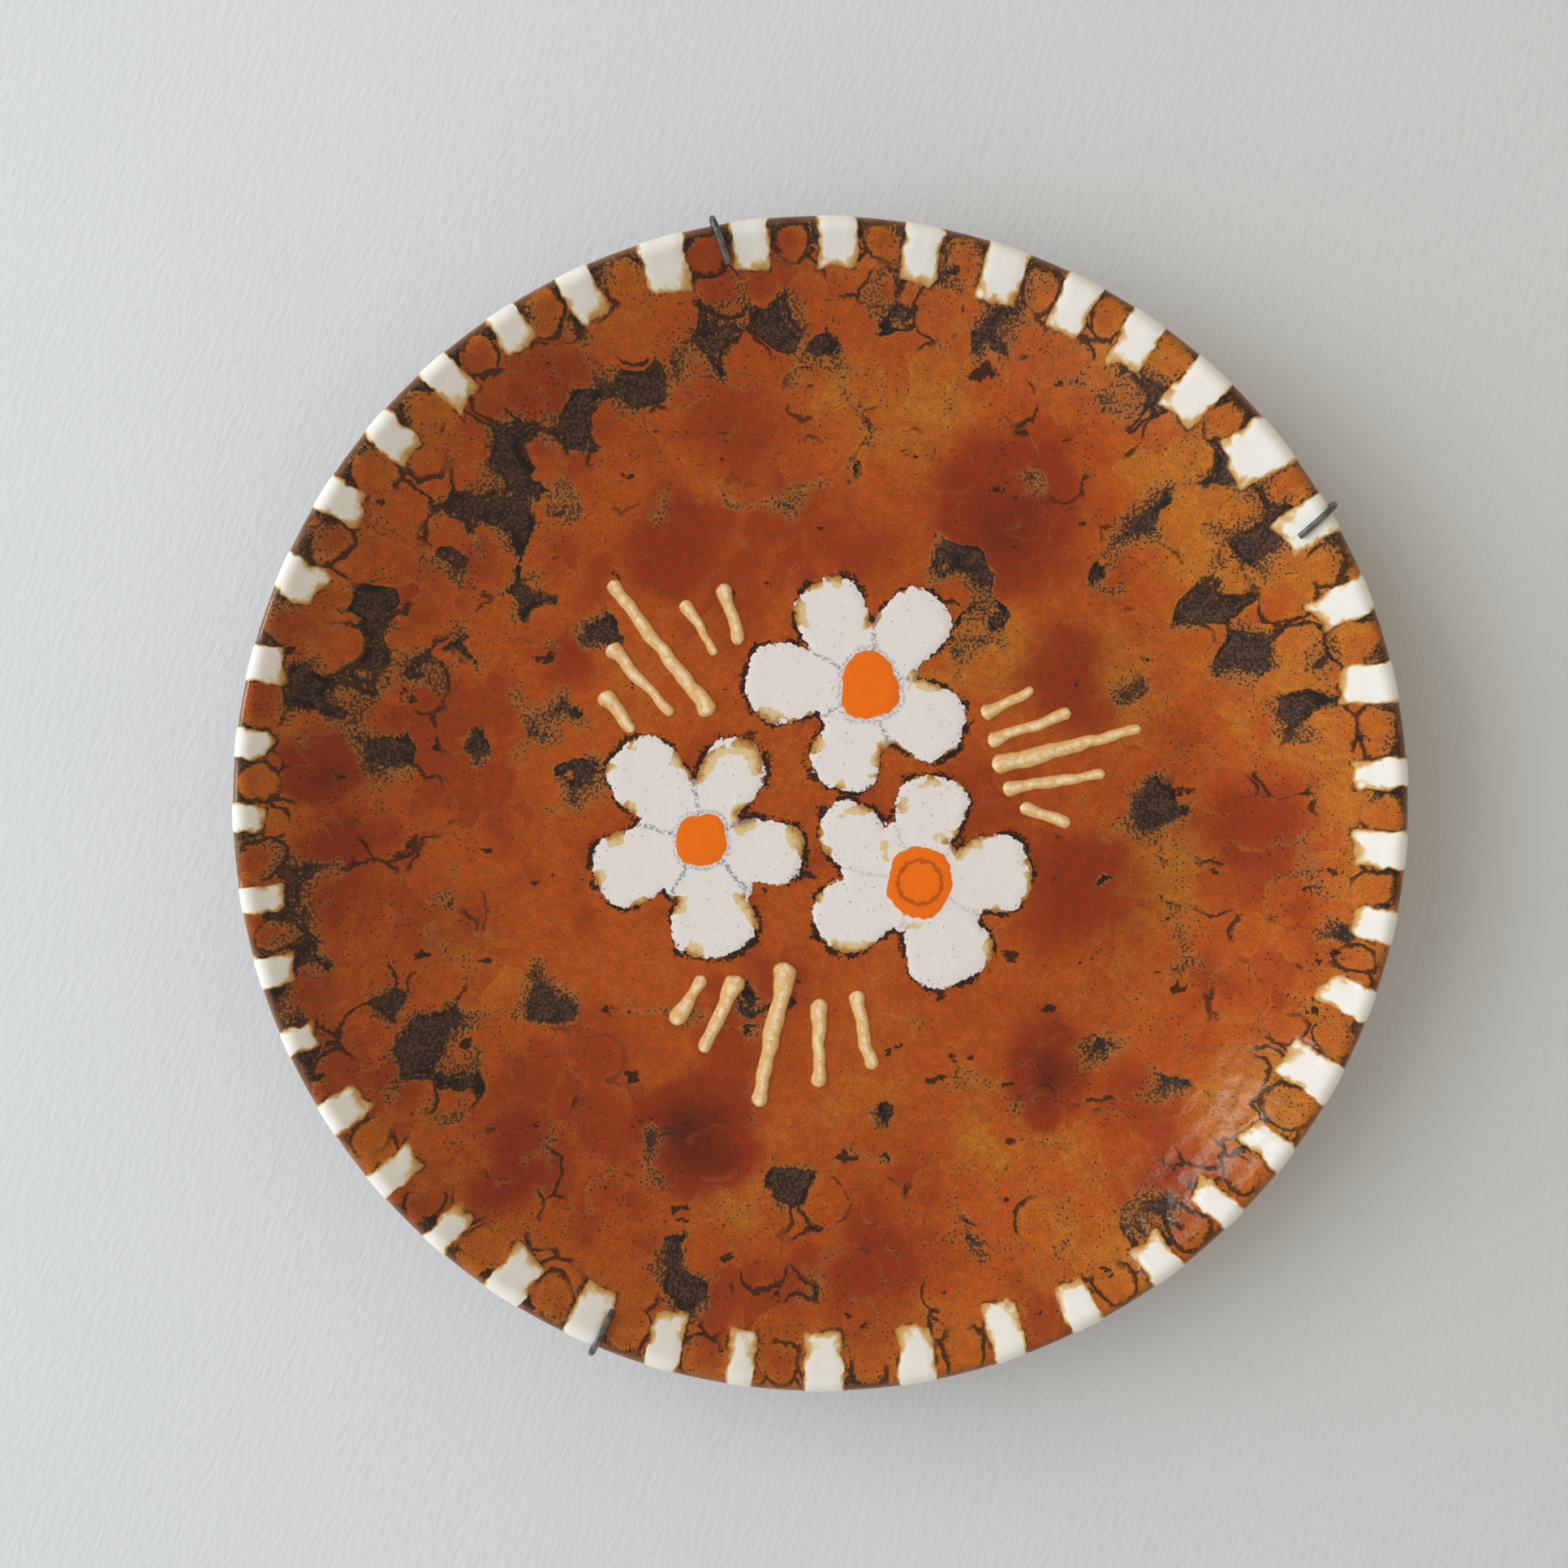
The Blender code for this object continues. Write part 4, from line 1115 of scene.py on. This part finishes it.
lumps = recipe.times(lumps, recipe.fade(from_end, 0.0055, 0.0015, 1.0, 1.20))
width = recipe.times(recipe.times(half_width, roundness), lumps)
lines = recipe.node("GeometryNodeSetCurveRadius", {0: lines, 2: width})
oval = recipe.node("GeometryNodeCurvePrimitiveCircle", {0: given["Steps round"], 4: 1.0})
oval_x, oval_y, _ = recipe.split(recipe.node("GeometryNodeInputPosition"))
ridge = recipe.times(oval_y, -1.0)
oval = recipe.node("GeometryNodeStoreNamedAttribute", {0: oval, 2: "ridge", 3: ridge})
oval_shape = recipe.joined(oval_x, recipe.times(oval_y, given["Flatness"]))
oval = recipe.node("GeometryNodeSetPosition", {0: oval, 2: oval_shape})
bars = recipe.node("GeometryNodeCurveToMesh", {0: lines, 1: oval, "Scale": width, "Fill Caps": True})
stood = recipe.node(
    "GeometryNodeTransform",
    {0: bars, 1: (0, EYE_SETBACK, PLATE_CENTRE_Z), 2: (math.radians(90), 0, 0)},
)
finish_tree(recipe, stood, given["Finish"], end)
trailed_slip = recipe.tree

# %% Colour the slip
slip, slip_paint, slip_shader, slip_mm = new_material("trailed_slip")
ridge = slip_paint.field("ridge")
patchy = slip_paint.times(slip_paint.less(slip_paint.noise(slip_mm, 1.8, 2.0, 1, flat=False), 0.5), 0.5)
ridge_here = slip_paint.add(ridge, patchy)
colour = slip_paint.mix(slip_paint.fade(ridge_here, 0.15, 0.85), (0.46, 0.17, 0.028, 1), (0.86, 0.50, 0.18, 1))
# Painted highlight: the top of each ridge is painted a paler cream, as if it shone.
colour = slip_paint.mix(slip_paint.fade(ridge_here, 0.88, 1.05), colour, (0.97, 0.80, 0.55, 1))
dots = slip_paint.fade(slip_paint.noise(slip_mm, 0.7, 1.0, 2, flat=False), 0.70, 0.76)
colour = slip_paint.mix(slip_paint.times(dots, 0.7), colour, (0.20, 0.09, 0.03, 1))
slip_paint.feed(slip_shader.inputs["Base Color"], colour)
lumpy = slip_paint.times(slip_paint.noise(slip_mm, 1.4, 2.0, 3, flat=False), 0.12)
slip_paint.feed(
    slip_shader.inputs["Normal"],
    slip_paint.node("ShaderNodeBump", {"Distance": 0.001, "Height": lumpy}),
)
slip_shader.inputs["Roughness"].default_value = 0.13
slip_shader.inputs["Specular IOR Level"].default_value = 0.8
strokes = make_piece(
    "slip_strokes", stroke_mesh, trailed_slip,
    {"Steps along": 64, "Steps round": 20, "Wobble": 0.0016, "Flatness": 0.46, "Finish": slip},
)
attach(strokes, "root")

# %% [markdown]
# ## The hanger's wires
# The hanger is stiff galvanised wire: two claws over the upper lip, joined behind the plate
# by a turn that makes the eye, and one claw over the lower lip. Each wire is one path, and
# one tree sweeps a round section along any path that it is given.

# %% The wire tree
recipe, given, end = shape_tree(
    "drawn_wire",
    {"Wire radius": LENGTH, "Sides": COUNT, "Finish": FINISH},
)
section = recipe.node("GeometryNodeCurvePrimitiveCircle", {0: given["Sides"], 4: given["Wire radius"]})
drawn = recipe.node("GeometryNodeCurveToMesh", {0: given["Geometry"], 1: section, "Fill Caps": True})
finish_tree(recipe, drawn, given["Finish"], end)
drawn_wire = recipe.tree


def path_curve(name, path):
    """A curve that runs straight from point to point."""
    data = bpy.data.curves.new(name, "CURVE")
    data.dimensions = "3D"
    spline = data.splines.new("POLY")
    spline.points.add(len(path) - 1)
    for point, where in zip(spline.points, path):
        point.co = (*where, 1.0)
    return data


# %% A claw, from its tip round the lip and back
WIRE_RADIUS = 0.00075
CLEARANCE = 0.0003
DAB_RISE = 0.0005
CLAW_LENGTH = 0.0092
CLAW_FIT = 0.0004
KNEE_DEPTH = 0.0095
KNEE_ROUND = 0.0030


def back_height(radius):
    """Height of the rim's underside at this radius, outside the foot."""
    near = rim_back_point(0)
    for step in range(1, 41):
        far = rim_back_point(step / 40)
        if far[0] >= radius:
            share = max(0.0, (radius - near[0]) / (far[0] - near[0]))
            return near[1] + (far[1] - near[1]) * share
        near = far
    return near[1]


def under_rim(where, height):
    """This place, moved off the rim's underside where that bulges into the wire's way."""
    room = (WIRE_RADIUS + CLEARANCE) / math.cos(RIM_SLOPE)
    return place(where.x, where.y, min(height, back_height(where.length) - room))


def claw_path(bearing, skew, goal, goal_height):
    """A wire from a claw's tip, over the lip and behind the rim, to just before its goal."""
    lip = polar(LIP_CENTRE_RADIUS, bearing)
    outwards = polar(1.0, bearing + skew)
    gap = DAB_RISE + CLAW_FIT + WIRE_RADIUS
    tip = lip - outwards * (CLAW_LENGTH - LIP_RADIUS)
    path = [place(tip.x, tip.y, face_height(tip.length) + gap / math.cos(RIM_SLOPE))]
    around = LIP_RADIUS + gap
    for step in range(25):
        lean = -RIM_SLOPE + math.pi * step / 24
        where = lip + outwards * around * math.sin(lean)
        path.append(place(where.x, where.y, LIP_CENTRE_HEIGHT + around * math.cos(lean)))
    knee_spot = lip - outwards * KNEE_DEPTH
    knee = under_rim(knee_spot, LIP_CENTRE_HEIGHT)
    knee_height = EYE_SETBACK - knee.y
    run = []
    for step in range(1, 8):
        height = knee_height + (goal_height - knee_height) * step / 8
        run.append(under_rim(knee_spot.lerp(goal, step / 8), height))
    return path + rounded([path[-1], knee, run[0]], KNEE_ROUND, 8)[1:-1] + run


print("claw path:", len(claw_path(2.18, 0.17, Vector((0, 0.091)), 0.003)), "points")

# %% The two wires
STRAND_STEP = 0.0021
EYE_BASE = 0.091
EYE_BORE = 0.010
TIGHT_HEIGHT = -(WIRE_RADIUS + CLEARANCE)
UPPER_CLAWS = math.radians(90 + 35.2), math.radians(90 - 35.2)
UPPER_SKEWS = math.radians(9.5), math.radians(13.3)
LOWER_CLAW = math.radians(272.5)
LOWER_SKEW = math.radians(-4.6)
LOWER_EYE_TOP = FOOT_INNER_RADIUS - 0.008 - 0.056 - 0.006
LOWER_EYE_RADIUS = 0.0018 + WIRE_RADIUS
LOWER_EYE_NECK = 0.0064

base_spot = Vector((0.0, EYE_BASE))
top_path = claw_path(UPPER_CLAWS[0], UPPER_SKEWS[0], base_spot, EYE_SETBACK + STRAND_STEP / 2)
eye_radius = EYE_BORE / 2 + WIRE_RADIUS
for step in range(73):
    where = base_spot + Vector((0, eye_radius)) + polar(eye_radius, math.tau * (step / 72 - 0.25))
    top_path.append(place(where.x, where.y, EYE_SETBACK + STRAND_STEP * (0.5 - step / 72)))
top_path += claw_path(UPPER_CLAWS[1], UPPER_SKEWS[1], base_spot, EYE_SETBACK - STRAND_STEP / 2)[::-1]

foot_edge = Vector((0.0, -(FOOT_RADIUS + FOOT_ROUND)))
bottom_path = claw_path(LOWER_CLAW, LOWER_SKEW, foot_edge, TIGHT_HEIGHT)
bottom_path.append(place(foot_edge.x, foot_edge.y, TIGHT_HEIGHT))
lower_eye = Vector((0.0, LOWER_EYE_TOP - LOWER_EYE_RADIUS))
bottom_path.append(place(0.0, lower_eye.y - LOWER_EYE_NECK, TIGHT_HEIGHT))
for step in range(41):
    where = lower_eye + polar(LOWER_EYE_RADIUS, math.radians(-60 + 285 * step / 40))
    bottom_path.append(place(where.x, where.y, TIGHT_HEIGHT))
print("points in the wires:", len(top_path), "and", len(bottom_path))

# %% [markdown]
# Galvanised wire is a dull grey with brighter and darker patches of zinc, and it has fine
# bright scratches. The metal is mostly metallic, and its roughness and a very low relief do
# the rest.

# %% Galvanised wire
galvanised, zinc, zinc_shader, zinc_mm = new_material("galvanised_wire")
patch = zinc.noise(zinc_mm, 2.2, 3.0, 1, flat=False)
colour = zinc.mix(zinc.fade(patch, 0.3, 0.7), (0.10, 0.10, 0.105, 1), (0.26, 0.26, 0.27, 1))
scratch = zinc.fade(zinc.noise(zinc_mm, 0.35, 2.0, 2, flat=False), 0.62, 0.74)
colour = zinc.mix(zinc.times(scratch, 0.5), colour, (0.46, 0.46, 0.46, 1))
zinc.feed(zinc_shader.inputs["Base Color"], colour)
zinc.feed(zinc_shader.inputs["Roughness"], zinc.fade(patch, 0.3, 0.7, 0.52, 0.34))
zinc_bump = zinc.node(
    "ShaderNodeBump", {"Distance": 0.001, "Height": zinc.times(zinc.noise(zinc_mm, 0.5, 2.0, 3, flat=False), 0.03)}
)
zinc.feed(zinc_shader.inputs["Normal"], zinc_bump)
zinc_shader.inputs["Metallic"].default_value = 0.85
for name, path in (("top_hanger_wire", top_path), ("bottom_hook_wire", bottom_path)):
    wire = make_piece(
        name + "_drawn", path_curve(name + "_path", path), drawn_wire,
        {"Wire radius": WIRE_RADIUS, "Sides": 16, "Finish": galvanised},
    )
    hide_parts(name)
    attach(wire, "root")

# %% [markdown]
# ## The spring
# A long coil spring pulls the claws together across the back. It hooks into the eye at the
# top and into the lower wire's own eye. Its path is a helix whose first and last half turns
# close in to the axis, with a hook at each end.

# %% The spring's path
SPRING_RADIUS = 0.00045
COIL_RADIUS = 0.0031 - SPRING_RADIUS
COIL_TURNS = 18
COIL_LENGTH = 0.056
COIL_TOP = FOOT_INNER_RADIUS - 0.008
HOOK_TAIL = 0.0028
HOOK_ROOM = WIRE_RADIUS + CLEARANCE + SPRING_RADIUS


def hook_turn(centre_z, centre_height, half_depth, sweep):
    """A hook's bend round a strand, from the viewer's side."""
    path = []
    for step in range(19):
        angle = sweep * step / 18
        z = centre_z + HOOK_ROOM * math.sin(angle)
        path.append(place(0.0, z, centre_height + half_depth * math.cos(angle)))
    return path


def coil_path(steps_per_turn):
    """The coil's points, from its top down."""
    count = COIL_TURNS * steps_per_turn
    path = []
    for step in range(count + 1):
        closing = min(1.0, min(step, count - step) / (steps_per_turn / 2))
        offset = polar(COIL_RADIUS * closing, math.tau * step / steps_per_turn)
        z = COIL_TOP - COIL_LENGTH * step / count
        path.append(place(offset.x, z, TIGHT_HEIGHT + offset.y))
    return path


upper_hook = hook_turn(EYE_BASE, EYE_SETBACK, STRAND_STEP / 2 + HOOK_ROOM, math.pi)
upper_tail = upper_hook[0] - Vector((0, 0, HOOK_TAIL))
lower_hook = hook_turn(LOWER_EYE_TOP, TIGHT_HEIGHT, HOOK_ROOM, -math.pi)
lower_tail = lower_hook[-1] + Vector((0, 0, HOOK_TAIL))
over_foot = place(0.0, FOOT_RADIUS + CLEARANCE, TIGHT_HEIGHT)
spring_path = [upper_tail, *upper_hook, over_foot, *coil_path(28), *lower_hook, lower_tail]
print("points in the spring:", len(spring_path))

# %% The spring in bright steel
bright, steel, steel_shader, steel_mm = new_material("spring_wire")
stain = steel.noise(steel_mm, 3.0, 3.0, 1, flat=False)
colour = steel.mix(steel.fade(stain, 0.4, 0.72), (0.42, 0.42, 0.43, 1), (0.22, 0.20, 0.18, 1))
steel.feed(steel_shader.inputs["Base Color"], colour)
steel.feed(steel_shader.inputs["Roughness"], steel.fade(stain, 0.3, 0.7, 0.22, 0.40))
steel_bump = steel.node(
    "ShaderNodeBump", {"Distance": 0.001, "Height": steel.times(steel.noise(steel_mm, 0.3, 1.0, 2, flat=False), 0.012)}
)
steel.feed(steel_shader.inputs["Normal"], steel_bump)
steel_shader.inputs["Metallic"].default_value = 1.0
spring = make_piece(
    "tension_spring_coiled", path_curve("spring_path", spring_path), drawn_wire,
    {"Wire radius": SPRING_RADIUS, "Sides": 10, "Finish": bright},
)
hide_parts("tension_spring")
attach(spring, "root")

# %% [markdown]
# ## Wall, floor and light
# The plate hangs on a pale painted wall with a fine grain. The wall is painted on its front
# only and is clear from behind, so that the back of the plate can be seen too.
# Daylight comes softly from the upper left, with a pale glow from all around.

# %% The wall and the floor
WALL_Y = 0.0066
FLOOR_Z = -1.5


def stage_square(name, corners, finish):
    """A plain square of the stage."""
    mesh = bpy.data.meshes.new(name)
    mesh.from_pydata(corners, [], [(0, 1, 2, 3)])
    mesh.materials.append(finish)
    square = bpy.data.objects.new(name, mesh)
    bpy.context.scene.collection.objects.link(square)
    square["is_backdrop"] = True


paint_wall, plaster, plaster_shader, plaster_mm = new_material("painted_wall")
upright = plaster.node(
    "ShaderNodeMapping",
    {"Vector": plaster_mm, "Rotation": (0, DECOR_TURN, 0), "Scale": (1.0, 1.0, 0.35)},
)
grain = plaster.noise(upright, 1.4, 4.0, 1, flat=False)
shade = plaster.mix(plaster.noise(plaster_mm, 60.0, 2.0, 2, flat=False), (0.745, 0.762, 0.79, 1), (0.785, 0.80, 0.825, 1))
plaster.feed(plaster_shader.inputs["Base Color"], shade)
plaster.feed(
    plaster_shader.inputs["Normal"],
    plaster.node("ShaderNodeBump", {"Distance": 0.001, "Height": plaster.times(grain, 0.17)}),
)
plaster_shader.inputs["Roughness"].default_value = 0.9
see_through = plaster.node("ShaderNodeBsdfTransparent")
one_sided = plaster.node(
    "ShaderNodeMixShader",
    {0: plaster.node("ShaderNodeNewGeometry", output=6), 1: plaster_shader.outputs[0], 2: see_through},
)
plaster.feed(paint_wall.node_tree.nodes["Material Output"].inputs[0], one_sided)
stage_square(
    "wall",
    [(-1.6, WALL_Y, FLOOR_Z), (1.6, WALL_Y, FLOOR_Z), (1.6, WALL_Y, 1.6), (-1.6, WALL_Y, 1.6)],
    paint_wall,
)
stage_square(
    "floor",
    [(-1.6, -2.4, FLOOR_Z), (1.6, -2.4, FLOOR_Z), (1.6, WALL_Y, FLOOR_Z), (-1.6, WALL_Y, FLOOR_Z)],
    paint_wall,
)
print("the wall stands", round((WALL_Y - EYE_SETBACK) * 1000, 1), "mm behind the foot ring")

# %% Light
world = bpy.data.worlds.new("studio")
bpy.context.scene.world = world
world.use_nodes = True
world.node_tree.nodes["Background"].inputs["Color"].default_value = (1.0, 0.90, 0.72, 1)
world.node_tree.nodes["Background"].inputs["Strength"].default_value = 0.47


def soft_light(name, size, power, to_side, up, forward, colour):
    """A large square light that faces the plate, placed as the camera sees it."""
    light = bpy.data.lights.new(name, "AREA")
    light.shape = "SQUARE"
    light.size = size
    light.energy = power
    light.color = colour
    lamp = bpy.data.objects.new(name, light)
    middle = place(0, 0, 0.02)
    lamp.location = middle + across * to_side + upwards * up - Vector((0, forward, 0))
    lamp.rotation_euler = (middle - lamp.location).to_track_quat("-Z", "Y").to_euler()
    bpy.context.scene.collection.objects.link(lamp)
    return lamp


window = soft_light("window", 1.6, 20.0, -1.35, 0.12, 1.1, (0.79, 0.895, 1.0))
window.visible_glossy = False
soft_light("window_glint", 0.30, 1.2, -0.95, 0.80, 1.05, (1.0, 1.0, 1.0))
soft_light("side_glint", 0.6, 7.0, -1.4, 0.25, 0.22, (0.90, 0.95, 1.0))
soft_light("back_fill", 0.8, 5.0, 0.2, 0.3, -1.0, (1.0, 1.0, 1.0))
bpy.context.scene.view_settings.view_transform = "Standard"

# %% [markdown] ## The sizes The box of the dressed plate is printed beside the box of the
# plain solids.
# The dressed plate has to fill the same box as the plain solids.

# %% Print the sizes and finish
own_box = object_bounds()
sizes = {
    "cad": [list(corner) for corner in cad_box],
    "visual": [list(corner) for corner in own_box],
}
for label in ("cad", "visual"):
    low, high = sizes[label]
    print(label, [round((b - a) * 1000, 1) for a, b in zip(low, high)], "mm")
